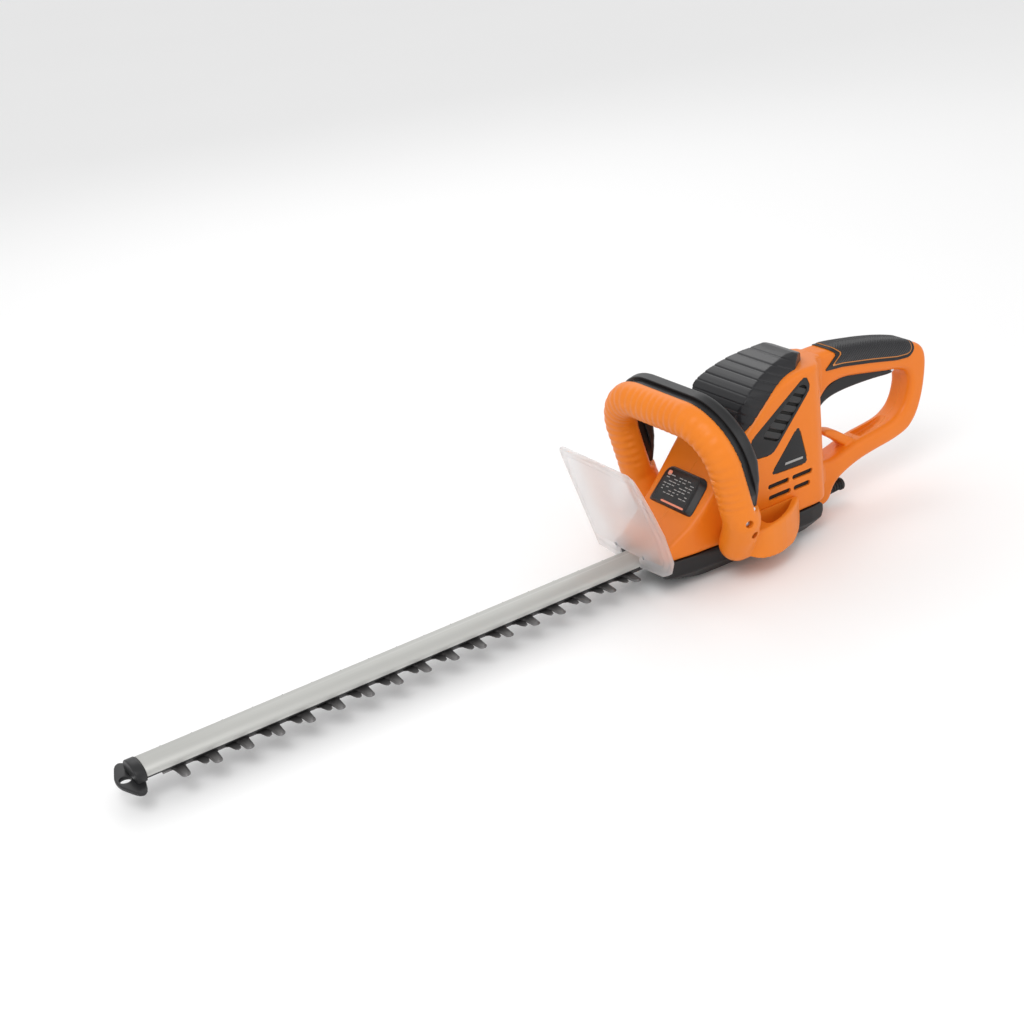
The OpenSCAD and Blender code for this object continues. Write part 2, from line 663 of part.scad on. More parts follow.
// Outline of one tooth from its root to its tip and back, pointing to +Y
module long_tooth() polygon(concat(
    [[-7.5, comb_half_w - 1], [-5.4, comb_half_w + 5]],
    arc(0, long_reach - 4.2, 4.2, 172, 8, 8),
    [[5.2, comb_half_w + 6], [7.5, comb_half_w - 1]]));
module short_tooth() polygon(concat(
    [[-8.5, comb_half_w - 1], [-5, comb_half_w + 3.5]],
    arc(0, short_reach - 3, 3, 165, 15, 5),
    [[5, comb_half_w + 3.5], [8.5, comb_half_w - 1]]));

module comb_back(z) difference() {
    up(z, z + comb_t) {
        translate([comb_front_x, -comb_half_w]) square([last_tooth_x - comb_front_x + 10, 2*comb_half_w]);
        translate([last_tooth_x, -comb_half_w])
            square([crank_x - ecc_r - play - 2 - last_tooth_x, 2*comb_half_w]);
        // Yoke around the eccentric
        translate([crank_x - yoke_half_x, -yoke_half_y]) square([2*yoke_half_x, 2*yoke_half_y]);
    }
    up(z - 1, z + comb_t + 1) translate([crank_x - ecc_r - play, -ecc_r - throw - 0.5])
        square([2*(ecc_r + play), 2*(ecc_r + throw + 0.5)]);
    at_bolts() for (s = [-1, 1]) translate([s*throw, 0, z - 1]) cylinder(r = bush_r + gap, h = comb_t + 2);
    at_bolts() block(-throw, throw, -bush_r - gap, bush_r + gap, z - 1, z + comb_t + 1);
}
yoke_half_x = ecc_r + play + 5;
yoke_half_y = ecc_r + throw + 5;

module upper_comb() color([0.36, 0.36, 0.37]) {
    comb_back(upper_comb_z);
    both_sides() up(upper_comb_z, upper_comb_z + comb_t)
        for (i = [0:tooth_count - 1]) translate([first_tooth_x + i*tooth_pitch, 0]) long_tooth();
}
module lower_comb() color([0.3, 0.3, 0.31]) {
    comb_back(lower_comb_z);
    both_sides() up(lower_comb_z, lower_comb_z + comb_t) for (i = [1:tooth_count - 1])
        translate([first_tooth_x + i*tooth_pitch - short_lead, 0]) short_tooth();
}
module comb_bushes() color([0.8, 0.8, 0.82]) at_bolts()
    tube_z(bush_r, bolt_r + slip, washer_z + washer_t, strip_z + strip_h);
module comb_washers() color([0.7, 0.7, 0.72]) at_bolts()
    tube_z(8, bolt_r + slip, washer_z, washer_z + washer_t - slip);
module comb_bolts() color([0.55, 0.55, 0.57]) at_bolts() {
    translate([0, 0, washer_z - bolt_head_h]) cylinder(r = nut_r, h = bolt_head_h - slip, $fn = 6);
    translate([0, 0, washer_z - 1]) cylinder(r = bolt_r - slip, h = nut_z + nut_h + 0.4 - washer_z + 1);
}
module comb_nuts() color([0.7, 0.7, 0.72]) at_bolts() translate([0, 0, nut_z]) difference() {
    cylinder(r = nut_r, h = nut_h, $fn = 6);
    translate([0, 0, -1]) cylinder(r = bolt_r, h = nut_h + 2);
}

// ---- Rear handle ----
grip_t = 1.4;
grip_outline = [
    [131, 177.6], [149, 175.6], [194, 167.1], [223, 160.6], [238, 156], [246.5, 150.5], [248, 144],
    [241, 138], [222, 140], [186, 148], [145, 156], [121, 158], [126, 168]
];
module rear_grip() color([0.2, 0.2, 0.21]) difference() {
    across(-grip_half_w - grip_t, grip_half_w + grip_t) polygon(grip_outline);
    handle_bevels(grip_t);
    difference() {
        across(-grip_half_w - slip, grip_half_w + slip) polygon(outline);
        handle_bevels(slip);
    }
}
module rear_trigger() color([0.09, 0.09, 0.1]) difference() {
    across(-trigger_half_w, trigger_half_w) polygon(trigger_outline);
    bar_y(trigger_pivot, 2 + run_gap, -20, 20);
}
module trigger_pin() color([0.75, 0.75, 0.78]) bar_y(trigger_pivot, 2, -grip_half_w + 4.2, grip_half_w - 4.2);
switch_z = 160;
module trigger_spring() color([0.7, 0.7, 0.72]) translate([166, 0, 0])
    tube_z(3.6, 2.8, spring_z - 0.9, switch_z);
module rear_switch() color([0.16, 0.16, 0.17]) block(148, 174, -10, 10, switch_z + 0.1, 164.5);
module cord_gland() color([0.08, 0.08, 0.09]) difference() {
    bar_x([0, gland_z], gland_r, gland_x - 10, gland_x + 30);
    bar_x([0, gland_z], cord_r, gland_x - 20, gland_x + 40);
}
module capacitor() color([0.75, 0.6, 0.15]) block(86, 98, -9, 9, 120, 140);

// ---- Drive ----
module gear(teeth, thickness) {
    pr = gear_m*teeth/2;
    base_r = pr*cos(25);
    half = 90/teeth - 0.16*180/PI/pr;
    root_r = pr - 1.25*gear_m;
    tip_r = pr + gear_m*0.96;
    rs = [for (i = [0:4]) max(base_r, root_r + 0.1) + (tip_r - max(base_r, root_r + 0.1))*i/4];
    linear_extrude(thickness) polygon([for (t = [0:teeth - 1]) each concat(
        [root_r*[cos(t*360/teeth - 180/teeth + 1.2), sin(t*360/teeth - 180/teeth + 1.2)]],
        [for (r = rs) let (a = t*360/teeth - flank(r, base_r, pr, half)) r*[cos(a), sin(a)]],
        [for (i = [4:-1:0]) let (r = rs[i], a = t*360/teeth + flank(r, base_r, pr, half))
            r*[cos(a), sin(a)]],
        [root_r*[cos(t*360/teeth + 180/teeth - 1.2), sin(t*360/teeth + 180/teeth - 1.2)]]
    )]);
}
module on_crank() translate([crank_x, 0, 0]) children();
module on_motor() translate([motor_x, 0, 0]) children();

module gearcase_plate() color([0.7, 0.71, 0.72]) difference() {
    union() {
        block(crank_x - 36, motor_x + 38, -plate_half_w, plate_half_w, plate_z, plate_z + plate_t);
        on_motor() translate([0, 0, plate_z]) cylinder(r = bearing_r + 3, h = bearing_t + 1);
        on_crank() translate([0, 0, plate_z]) cylinder(r = shaft_r + 6, h = plate_t + 2);
        // Pillars down to the base plate
        for (x = [crank_x - 33, motor_x + 34]) for (y = [-32, 32])
            translate([x, y, pillar_z]) cylinder(r = 4, h = plate_z - pillar_z + 1);
    }
    on_motor() translate([0, 0, plate_z + 1]) cylinder(r = bearing_r + slip, h = 20);
    on_motor() translate([0, 0, plate_z - 1]) cylinder(r = shaft_r + 2, h = 20);
    on_crank() translate([0, 0, plate_z - 1]) cylinder(r = shaft_r + 2 + slip, h = 20);
}
module gearcase_base() color([0.66, 0.67, 0.68]) difference() {
    block(crank_x - 38, motor_x + 38, -37, 37, base_plate_z, base_plate_z + base_plate_t - slip);
    on_crank() translate([0, 0, base_plate_z - 1]) cylinder(r = shaft_r + 2 + slip, h = 20);
}
module crank_bushes() color([0.75, 0.55, 0.25]) on_crank() {
    tube_z(shaft_r + 2, shaft_r + run_gap, plate_z, plate_z + bush_t);
    tube_z(shaft_r + 2, shaft_r + run_gap, base_plate_z - 1, base_plate_z - 1 + bush_t);
}
module crank_shaft() color([0.72, 0.72, 0.74]) on_crank()
    translate([0, 0, base_plate_z - 0.5]) cylinder(r = shaft_r, h = plate_z + bush_t - base_plate_z + 1.5);
module crank_gear() color([0.6, 0.6, 0.62]) on_crank() difference() {
    translate([0, 0, gear_z]) rotate(180/gear_teeth) gear(gear_teeth, gear_t);
    translate([0, 0, gear_z - 1]) cylinder(r = shaft_r + slip, h = gear_t + 2);
    for (a = [0:60:300]) rotate(a + 30) translate([17, 0, gear_z - 1]) cylinder(r = 5, h = gear_t + 2);
}
module eccentric(z, dir) on_crank() difference() {
    translate([0, dir*throw, z]) cylinder(r = ecc_r, h = ecc_t);
    translate([0, 0, z - 1]) cylinder(r = shaft_r + slip, h = ecc_t + 2);
}
module upper_eccentric() color([0.68, 0.68, 0.7]) eccentric(upper_comb_z, 1);
module lower_eccentric() color([0.68, 0.68, 0.7]) eccentric(lower_comb_z, -1);

module armature_shaft() color([0.72, 0.72, 0.74]) on_motor()
    translate([0, 0, gear_z - 1]) cylinder(r = shaft_r, h = shaft_top_z - gear_z + 1);
module pinion() color([0.6, 0.6, 0.62]) on_motor() difference() {
    translate([0, 0, gear_z - 0.5]) gear(pinion_teeth, gear_t + 1);
    translate([0, 0, gear_z - 2]) cylinder(r = shaft_r + slip, h = gear_t + 4);
}
module armature_core() color([0.55, 0.4, 0.25]) on_motor() difference() {
    union() {
        translate([0, 0, stator_z + 2]) cylinder(r = rotor_r, h = stator_h - 4);
        translate([0, 0, stator_z - 6]) cylinder(r = rotor_r - 4, h = stator_h + 12);
    }
    for (a = [0:30:330]) rotate(a)
        translate([rotor_r, 0, stator_z - 10]) cylinder(r = 1.6, h = stator_h + 20);
    translate([0, 0, stator_z - 10]) cylinder(r = shaft_r + slip, h = stator_h + 20);
}
module commutator() color([0.75, 0.45, 0.2]) on_motor()
    tube_z(comm_r, shaft_r + slip, comm_z, comm_z + comm_h);
module fan() color([0.85, 0.85, 0.83]) on_motor() difference() {
    union() {
        translate([0, 0, fan_z]) cylinder(r = fan_r, h = 2);
        translate([0, 0, fan_z]) cylinder(r = 9, h = fan_h);
        for (a = [0:30:330]) rotate(a) translate([8, -0.9, fan_z + 1]) cube([fan_r - 8.6, 1.8, fan_h - 1]);
    }
    translate([0, 0, fan_z - 1]) cylinder(r = shaft_r + slip, h = fan_h + 2);
}
module stator() color([0.5, 0.5, 0.52]) on_motor() difference() {
    translate([0, 0, stator_z]) cylinder(r = stator_r, h = stator_h);
    translate([0, 0, stator_z - 1]) cylinder(r = stator_bore, h = stator_h + 2);
    for (s = [0, 180]) rotate(s) translate([stator_bore - 4, -9, stator_z - 1]) cube([8, 18, stator_h + 2]);
}
module stator_windings() color([0.72, 0.38, 0.15]) on_motor()
    for (z = [stator_z - winding_rise, stator_z + stator_h + slip])
        tube_z(stator_r - 4, stator_bore + 1.5, z, z + winding_rise - slip);
module motor_bearings() color([0.78, 0.78, 0.8]) on_motor() {
    tube_z(bearing_r, shaft_r + run_gap, plate_z + 1 + slip, plate_z + 1 + bearing_t);
    tube_z(bearing_r, shaft_r + run_gap, top_bearing_z, top_bearing_z + bearing_t);
}
module motor_bracket() color([0.2, 0.2, 0.22]) on_motor() difference() {
    union() {
        translate([0, 0, top_bearing_z]) cylinder(r = bearing_r + 3, h = bearing_t + 2);
        block(-6, 6, -stator_r + 2, stator_r - 2, top_bearing_z, top_bearing_z + 4);
        both_sides()
            block(-6, 6, stator_r - 3.6, stator_r - 0.2, stator_z + stator_h + slip, top_bearing_z + 4);
    }
    translate([0, 0, top_bearing_z - 1]) cylinder(r = bearing_r + slip, h = bearing_t + 1);
}
module brush_holders() color([0.78, 0.62, 0.25]) on_motor() for (s = [0, 180]) rotate(s) difference() {
    block(comm_r + 2, comm_r + 20, -6, 6, comm_z + 1, comm_z + comm_h - 1);
    block(comm_r + 1, comm_r + 19, -4.2, 4.2, comm_z + 2.6, comm_z + comm_h - 2.6);
}
module brushes() color([0.15, 0.15, 0.15]) on_motor() for (s = [0, 180]) rotate(s)
    block(comm_r + gap, comm_r + 16, -4, 4, comm_z + 2.9, comm_z + comm_h - 2.9);

housing_left();
housing_right();
housing_screws();
base_cover();
base_screws();
motor_cover();
label_panel();
vent_grille_left();
vent_grille_right();
badge_left();
badge_right();
front_handle();
front_handle_screws();
front_switch_bar();
switch_bar_pins();
switch_bar_springs();
front_switch();
hand_guard();
guard_screws();
blade_beam();
beam_end_cap();
tip_guard();
blade_strip();
upper_comb();
lower_comb();
comb_bushes();
comb_bolts();
comb_nuts();
comb_washers();
rear_grip();
rear_trigger();
trigger_pin();
trigger_spring();
rear_switch();
cord_gland();
capacitor();
gearcase_plate();
gearcase_base();
crank_bushes();
crank_shaft();
crank_gear();
upper_eccentric();
lower_eccentric();
armature_shaft();
armature_core();
commutator();
fan();
pinion();
stator();
stator_windings();
motor_bearings();
motor_bracket();
brush_holders();
brushes();
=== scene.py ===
import json
import math

import bmesh
import bpy
from mathutils import Matrix, Vector


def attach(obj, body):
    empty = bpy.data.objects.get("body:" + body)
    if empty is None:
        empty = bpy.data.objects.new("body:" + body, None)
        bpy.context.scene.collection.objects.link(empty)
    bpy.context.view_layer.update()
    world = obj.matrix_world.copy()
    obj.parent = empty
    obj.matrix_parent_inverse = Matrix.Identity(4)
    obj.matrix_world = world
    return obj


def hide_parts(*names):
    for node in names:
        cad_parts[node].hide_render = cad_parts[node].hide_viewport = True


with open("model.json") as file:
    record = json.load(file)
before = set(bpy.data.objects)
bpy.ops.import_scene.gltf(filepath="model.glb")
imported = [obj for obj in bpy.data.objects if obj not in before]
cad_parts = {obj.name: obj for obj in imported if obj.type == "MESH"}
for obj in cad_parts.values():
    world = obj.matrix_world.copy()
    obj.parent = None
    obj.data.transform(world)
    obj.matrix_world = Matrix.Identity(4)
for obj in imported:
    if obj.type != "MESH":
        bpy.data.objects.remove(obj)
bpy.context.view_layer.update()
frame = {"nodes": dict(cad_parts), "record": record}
MM = 0.001

# ---- Floor, light and camera ----
# A pale studio floor that runs up into the background, with a large soft key light over the blade's side,
# a fill from the other side and a strip behind that draws the edges.
scene = bpy.context.scene


def paint(name, colour, roughness):
    """A plain material for the studio, with a slow cloud in its brightness."""
    mat = bpy.data.materials.new(name)
    mat.use_nodes = True
    nodes, links = mat.node_tree.nodes, mat.node_tree.links
    shader = nodes["Principled BSDF"]
    shader.inputs["Roughness"].default_value = roughness
    where = nodes.new("ShaderNodeTexCoord")
    cloud = nodes.new("ShaderNodeTexNoise")
    cloud.inputs["Scale"].default_value = 1.5
    links.new(where.outputs["Object"], cloud.inputs["Vector"])
    ramp = nodes.new("ShaderNodeValToRGB")
    ramp.color_ramp.elements[0].color = (*[c*0.98 for c in colour], 1)
    ramp.color_ramp.elements[1].color = (*colour, 1)
    links.new(cloud.outputs["Fac"], ramp.inputs["Fac"])
    links.new(ramp.outputs["Color"], shader.inputs["Base Color"])
    return mat


bpy.ops.mesh.primitive_plane_add(size=60, location=(0, 0, 0))
floor = bpy.context.object
floor.name = "floor"
floor.data.materials.append(paint("studio_floor", (0.93, 0.93, 0.93), 0.6))

world = bpy.data.worlds.new("studio")
scene.world = world
world.use_nodes = True
world.node_tree.nodes["Background"].inputs["Color"].default_value = (1, 1, 1, 1)
world.node_tree.nodes["Background"].inputs["Strength"].default_value = 0.85
scene.view_settings.view_transform = "Standard"


def softbox(name, place, target, width, height, watts):
    """A rectangular area light that looks at a target point."""
    data = bpy.data.lights.new(name, "AREA")
    data.shape = "RECTANGLE"
    data.size = width
    data.size_y = height
    data.energy = watts
    light = bpy.data.objects.new(name, data)
    light.location = place
    light.rotation_euler = (Vector(target) - Vector(place)).to_track_quat("-Z", "Y").to_euler()
    scene.collection.objects.link(light)


softbox("key", (-1.2, -0.9, 1.9), (-0.1, 0, 0.08), 1.2, 1.0, 16)
softbox("fill", (0.9, -1.7, 0.9), (-0.1, 0, 0.1), 1.0, 1.2, 4)
softbox("back", (0.4, 1.6, 1.3), (-0.2, 0, 0.1), 1.6, 0.7, 6)

CAMERA_PLACE = Vector((-0.9838, -1.2343, 0.7925))
CAMERA_AZIMUTH = math.radians(-30.487)
CAMERA_HEIGHT = math.radians(24.842)
CAMERA_ROLL = math.radians(-7.436)
CAMERA_LENS = 59.66

back = Vector((
    math.sin(CAMERA_AZIMUTH)*math.cos(CAMERA_HEIGHT),
    -math.cos(CAMERA_AZIMUTH)*math.cos(CAMERA_HEIGHT),
    math.sin(CAMERA_HEIGHT),
))
right = Vector((0, 0, 1)).cross(back).normalized()
above = back.cross(right)
turned_right = right*math.cos(CAMERA_ROLL) + above*math.sin(CAMERA_ROLL)
turned_up = above*math.cos(CAMERA_ROLL) - right*math.sin(CAMERA_ROLL)
lens = bpy.data.cameras.new("camera")
lens.lens = CAMERA_LENS
lens.sensor_width = 36
camera = bpy.data.objects.new("camera", lens)
camera_turn = Matrix((turned_right, turned_up, back)).transposed()
camera.matrix_world = Matrix.Translation(CAMERA_PLACE) @ camera_turn.to_4x4()
scene.collection.objects.link(camera)
scene.camera = camera

# ---- Orange housing ----
# Two moulded ABS shells, screwed together along the middle, that hold the motor and form the rear handle.
# Their walls are about 2.6 mm thick, with rounded rims, side windows and slots for the cooling air.
HALF_W = 45
GRIP_HALF = 16
NOSE_X = -115
SEAM_Z = 32


def finish_mesh(name, mesh, sharp=35):
    """An object at the origin for a mesh, shaded smooth except across edges sharper than this angle."""
    mesh.name = name
    mesh.validate()
    for face in mesh.polygons:
        face.use_smooth = True
    mesh.set_sharp_from_angle(angle=math.radians(sharp))
    piece = bpy.data.objects.new(name, mesh)
    scene.collection.objects.link(piece)
    return piece


def baked(piece, sharp=35):
    """The piece with its modifiers turned into plain mesh."""
    graph = bpy.context.evaluated_depsgraph_get()
    mesh = bpy.data.meshes.new_from_object(piece.evaluated_get(graph))
    name = piece.name
    bpy.data.objects.remove(piece)
    return finish_mesh(name, mesh, sharp)


def outward(mesh):
    """Turn the faces of a closed mesh outwards."""
    work = bmesh.new()
    work.from_mesh(mesh)
    bmesh.ops.remove_doubles(work, verts=work.verts, dist=0.00001)
    bmesh.ops.recalc_face_normals(work, faces=work.faces)
    work.to_mesh(mesh)
    work.free()


def built(name, points, faces, turn=Matrix(), sharp=35):
    """An object from its points in metres and its faces, placed by a matrix."""
    mesh = bpy.data.meshes.new(name)
    mesh.from_pydata(points, [], faces)
    mesh.transform(turn)
    outward(mesh)
    return finish_mesh(name, mesh, sharp)


def softened(points, passes=2, reach=8.0):
    """Cut a closed outline's corners again and again, by at most the reach in mm, so that they turn round."""
    for _ in range(passes):
        cut = []
        for i, (u, v) in enumerate(points):
            p, q = points[(i + 1) % len(points)]
            share = min(0.25, reach/math.dist((u, v), (p, q)))
            cut.append((u + (p - u)*share, v + (q - v)*share))
            cut.append((p + (u - p)*share, q + (v - q)*share))
        points = cut
        reach *= 0.5
    return points


PLANES = {
    "xz": lambda u, v, w: (u, -w, v),
    "xy": lambda u, v, w: (u, v, w),
    "yz": lambda u, v, w: (w, u, v),
}


def slab(name, outlines, low, high, rim, plane="xz", inset=0.0, steps=4):
    """A solid made from flat outlines in mm, thick from low to high, with its rims rounded by a radius."""
    curve = bpy.data.curves.new(name, "CURVE")
    curve.dimensions = "2D"
    curve.fill_mode = "BOTH"
    for points in outlines:
        spline = curve.splines.new("POLY")
        spline.points.add(len(points) - 1)
        for knot, (u, v) in zip(spline.points, points):
            knot.co = (u*MM, v*MM, 0, 1)
        spline.use_cyclic_u = True
    curve.extrude = ((high - low)/2 - rim)*MM
    curve.bevel_depth = rim*MM
    curve.bevel_resolution = steps
    curve.offset = -(rim + inset)*MM
    shape = bpy.data.objects.new(name, curve)
    scene.collection.objects.link(shape)
    graph = bpy.context.evaluated_depsgraph_get()
    mesh = bpy.data.meshes.new_from_object(shape.evaluated_get(graph))
    bpy.data.objects.remove(shape)
    middle = (low + high)/2*MM
    place = PLANES[plane]
    for vertex in mesh.vertices:
        u, v, w = vertex.co
        vertex.co = place(u, v, w - middle if plane == "xz" else w + middle)
    outward(mesh)
    return finish_mesh(name, mesh)


def merged(name, parts):
    """One mesh that holds several separate solids."""
    work = bmesh.new()
    for part in parts:
        work.from_mesh(part.data)
        bpy.data.objects.remove(part)
    mesh = bpy.data.meshes.new(name)
    work.to_mesh(mesh)
    work.free()
    return mesh


def blended(name, parts, voxel, relax):
    """Several overlapping solids grown together into one skin, with soft joints between them."""
    piece = bpy.data.objects.new(name, merged(name, parts))
    scene.collection.objects.link(piece)
    skin = piece.modifiers.new("skin", "REMESH")
    skin.mode = "VOXEL"
    skin.voxel_size = voxel*MM
    ease = piece.modifiers.new("ease", "SMOOTH")
    ease.factor = 0.5
    ease.iterations = relax
    return baked(piece)


def cut_away(piece, tools, sharp=35, operation="DIFFERENCE"):
    """The piece with these solids cut out of it, or with another operation done with each."""
    for tool in tools:
        cut = piece.modifiers.new("cut", "BOOLEAN")
        cut.operation = operation
        cut.solver = "EXACT"
        cut.object = tool
    piece = baked(piece, sharp)
    for tool in tools:
        bpy.data.objects.remove(tool)
    return piece


def stretch_y(piece, width):
    """Scale the piece's Y by a factor that depends on X in mm."""
    for vertex in piece.data.vertices:
        vertex.co.y *= width(vertex.co.x/MM)
    return piece


def between(x, knots):
    """Straight-line value at x through knots of (x, value)."""
    for (x0, v0), (x1, v1) in zip(knots, knots[1:]):
        if x <= x1:
            return v0 + (v1 - v0)*max(0.0, (x - x0)/(x1 - x0))
    return knots[-1][1]


def finish(name, base, shade, edge_highlight, rough, grain, depth, metallic=0.0, stretch=(1, 1, 1), cloud=18.0):
    """A surface whose colour drifts from base to shade, with painted edge highlights and a fine grain in gloss
    and relief.

    grain is how many grains a metre has, depth their height in mm, and stretch draws them out along an axis.
    """
    mat = bpy.data.materials.new(name)
    mat.use_nodes = True
    nodes, links = mat.node_tree.nodes, mat.node_tree.links
    shader = nodes["Principled BSDF"]
    shader.inputs["Metallic"].default_value = metallic
    shader.inputs["Specular IOR Level"].default_value = 0.32
    where = nodes.new("ShaderNodeTexCoord")
    drawn = nodes.new("ShaderNodeMapping")
    drawn.inputs["Scale"].default_value = stretch
    links.new(where.outputs["Object"], drawn.inputs["Vector"])

    drift = nodes.new("ShaderNodeTexNoise")
    drift.inputs["Scale"].default_value = cloud
    drift.inputs["Detail"].default_value = 4
    links.new(where.outputs["Object"], drift.inputs["Vector"])
    tone = nodes.new("ShaderNodeMix")
    tone.name = "tone"
    tone.data_type = "RGBA"
    tone.inputs["A"].default_value = (*base, 1)
    tone.inputs["B"].default_value = (*shade, 1)
    links.new(drift.outputs["Fac"], tone.inputs["Factor"])

    # Painted highlight: sharp convex edges, found by their pointiness, are mixed towards a lighter colour.
    corner = nodes.new("ShaderNodeNewGeometry")
    edge = nodes.new("ShaderNodeMapRange")
    edge.inputs["From Min"].default_value = 0.52
    edge.inputs["From Max"].default_value = 0.62
    edge.inputs["To Max"].default_value = 0.5
    links.new(corner.outputs["Pointiness"], edge.inputs["Value"])
    rub = nodes.new("ShaderNodeMix")
    rub.name = "rub"
    rub.data_type = "RGBA"
    rub.inputs["B"].default_value = (*edge_highlight, 1)
    links.new(edge.outputs["Result"], rub.inputs["Factor"])
    links.new(tone.outputs["Result"], rub.inputs["A"])
    links.new(rub.outputs["Result"], shader.inputs["Base Color"])

    fine = nodes.new("ShaderNodeTexNoise")
    fine.name = "fine"
    fine.inputs["Scale"].default_value = grain
    fine.inputs["Detail"].default_value = 3
    links.new(drawn.outputs["Vector"], fine.inputs["Vector"])
    gloss = nodes.new("ShaderNodeMapRange")
    gloss.inputs["To Min"].default_value = rough*0.8
    gloss.inputs["To Max"].default_value = min(1.0, rough*1.25)
    links.new(fine.outputs["Fac"], gloss.inputs["Value"])
    links.new(gloss.outputs["Result"], shader.inputs["Roughness"])
    relief = nodes.new("ShaderNodeBump")
    relief.name = "relief"
    relief.inputs["Distance"].default_value = depth*MM
    relief.inputs["Strength"].default_value = 0.6
    links.new(fine.outputs["Fac"], relief.inputs["Height"])
    links.new(relief.outputs["Normal"], shader.inputs["Normal"])
    return mat


orange = finish("orange_abs", (0.80, 0.205, 0.010), (0.74, 0.17, 0.008), (0.92, 0.32, 0.05), 0.36, 1400, 0.02)

seat_line = [(-16, 132), (-2, 143), (17, 161), (37, 175), (58, 182)]
body_side = softened(
    [(NOSE_X, SEAM_Z), (-113, 44), (-77, 68), (-46, 99)] + seat_line
    + [(84, 182), (100, 180), (120, 177), (118, 150), (112, 134), (106, 118), (105, 100), (107, 78), (112, 62),
       (118, 50), (116, SEAM_Z)], 1)
body_width = [(-115, 36/45), (-81, 42/45), (-36, 1), (74, 1), (82, 0.985), (88, 0.94),
              (94, 0.85), (100, 0.66), (106, 21/45), (118, 16/45), (130, 0.3)]
body = blended("body", [slab("body", [body_side], -HALF_W, HALF_W, 5)], 2.0, 1)
stretch_y(body, lambda x: between(x, body_width))

handle_side = softened([
    (84, 176), (127, 178), (149, 176), (194, 168), (223, 161), (250, 152), (263.5, 144), (268, 130), (266, 110),
    (262, 91), (255, 73), (247, 62), (237, 54), (216, 49), (191, 46.5), (168, 43), (148, 37), (130, 28),
    (122, 9), (104, 8), (90, 14), (84, 30)], 2)
hand_hole = softened([
    (110, 70), (107, 96), (107, 114), (114, 126), (124, 137), (134, 141), (151, 142), (173, 138), (202, 132),
    (229, 127), (240, 121), (243, 109), (240, 95), (234, 83), (226, 76), (215, 71), (196, 68.5), (169, 66),
    (150, 61), (130, 56), (116, 58)], 2)
handle = slab("handle", [handle_side, hand_hole], -GRIP_HALF, GRIP_HALF, 6.5)
hook = slab("hook", [softened([(126, 82), (125, 86), (130, 88), (140, 85), (150, 78), (160, 71), (170, 64),
    (160, 56), (150, 64), (142, 71), (134, 77)], 2)], -8, 8, 3)
housing = blended("housing", [body, handle, hook], 1.25, 6)

grille_outline = [(-6, 129), (70, 177), (76, 162), (22, 107), (-3, 109)]
badge_outline = [(17, 85), (68, 83), (58, 128)]
SLOT_HEIGHT = 5.5
slot_corners = [(14, 70.5, 28), (46, 70.5, 27), (14, 58.5, 29), (47, 58.5, 22)]


def slot_outline(x, z, length):
    """The rectangle of one cooling slot."""
    return [(x, z), (x + length, z), (x + length, z + SLOT_HEIGHT), (x, z + SLOT_HEIGHT)]


tools = []
for low, high in ((-HALF_W - 5, -HALF_W + 3.2), (HALF_W - 3.2, HALF_W + 5)):
    tools.append(slab("window", [softened(grille_outline, 1)], low, high, 0.3, inset=-0.3))
    tools.append(slab("badge_seat", [softened(badge_outline, 1)], low, high, 0.3, inset=-0.2))
    for corner in slot_corners:
        tools.append(slab("slot", [softened(slot_outline(*corner), 1, 1.6)], low, high, 0.3))
tools.append(slab("arm_recess", [softened([(176, 60), (212, 66), (222, 76), (170, 76)], 1)], -8, 8, 2))
housing = cut_away(housing, tools)


housing_screws = [
    (-96, 47), (-62, 71), (-46, 45), (84, 60), (94, 104), (128, 38), (243, 65), (256, 132), (195, 55.5)]


def screw_seat(x):
    """How far from the middle plane a housing screw's head seats, in mm."""
    return 12 if x > 120 else 33 if x < -70 else 30 if x > 90 else 41


def circle(u, v, radius, count=28):
    """A round outline."""
    turns = [math.tau*i/count for i in range(count)]
    return [(u + radius*math.cos(a), v + radius*math.sin(a)) for a in turns]


def place(piece, mat, finish_slot, *nodes, body="body"):
    """Paint a finished piece, put it under its body and hide the CAD nodes it stands for; its finish slot is
    not used.
    """
    piece.data.materials.clear()
    piece.data.materials.append(mat)
    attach(piece, body)
    if nodes:
        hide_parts(*nodes)


def half_of(piece, name, side):
    """The half of a piece on one side of the middle plane, with a hair's gap there for the parting line."""
    work = bmesh.new()
    work.from_mesh(piece.data)
    cut = bmesh.ops.bisect_plane(
        work, geom=work.verts[:] + work.edges[:] + work.faces[:], dist=0.000001,
        plane_co=(0, side*0.15*MM, 0), plane_no=(0, side, 0), clear_inner=True)
    rim = [item for item in cut["geom_cut"] if isinstance(item, bmesh.types.BMEdge)]
    bmesh.ops.triangle_fill(work, edges=rim, use_beauty=True)
    bmesh.ops.recalc_face_normals(work, faces=work.faces)
    mesh = bpy.data.meshes.new(name)
    work.to_mesh(mesh)
    work.free()
    return finish_mesh(name, mesh)


for side, node in ((-1, "housing_left"), (1, "housing_right")):
    shell = half_of(housing, node + "_shell", side)
    if side > 0:
        bores = []
        for x, z in housing_screws:
            seat = screw_seat(x)
            bores.append(slab("bore", [circle(x, z, 3.7)], seat, seat + 16, 0.2))
        shell = cut_away(shell, bores)
    place(shell, orange, "orange_shell", node)
bpy.data.objects.remove(housing)

# ---- Cooling slots ----
# Black strips behind the four short slots on each side: painted shade that makes the blind slots in the solid
# shells look dark and deep.
# A black finish for painted shade in the slots and in the gaps behind the grille slats.
mesh_black = finish("mesh_black", (0.012, 0.012, 0.012), (0.02, 0.018, 0.016), (0.03, 0.03, 0.03), 0.8, 900,
                    0.2)


def joined(name, parts, sharp=35):
    """Several separate solids kept in one object."""
    return finish_mesh(name, merged(name, parts), sharp)


def facing(side, near, far):
    """Low and high Y, in mm, of a layer between two distances from the middle plane on one side."""
    return (near, far) if side > 0 else (-far, -near)


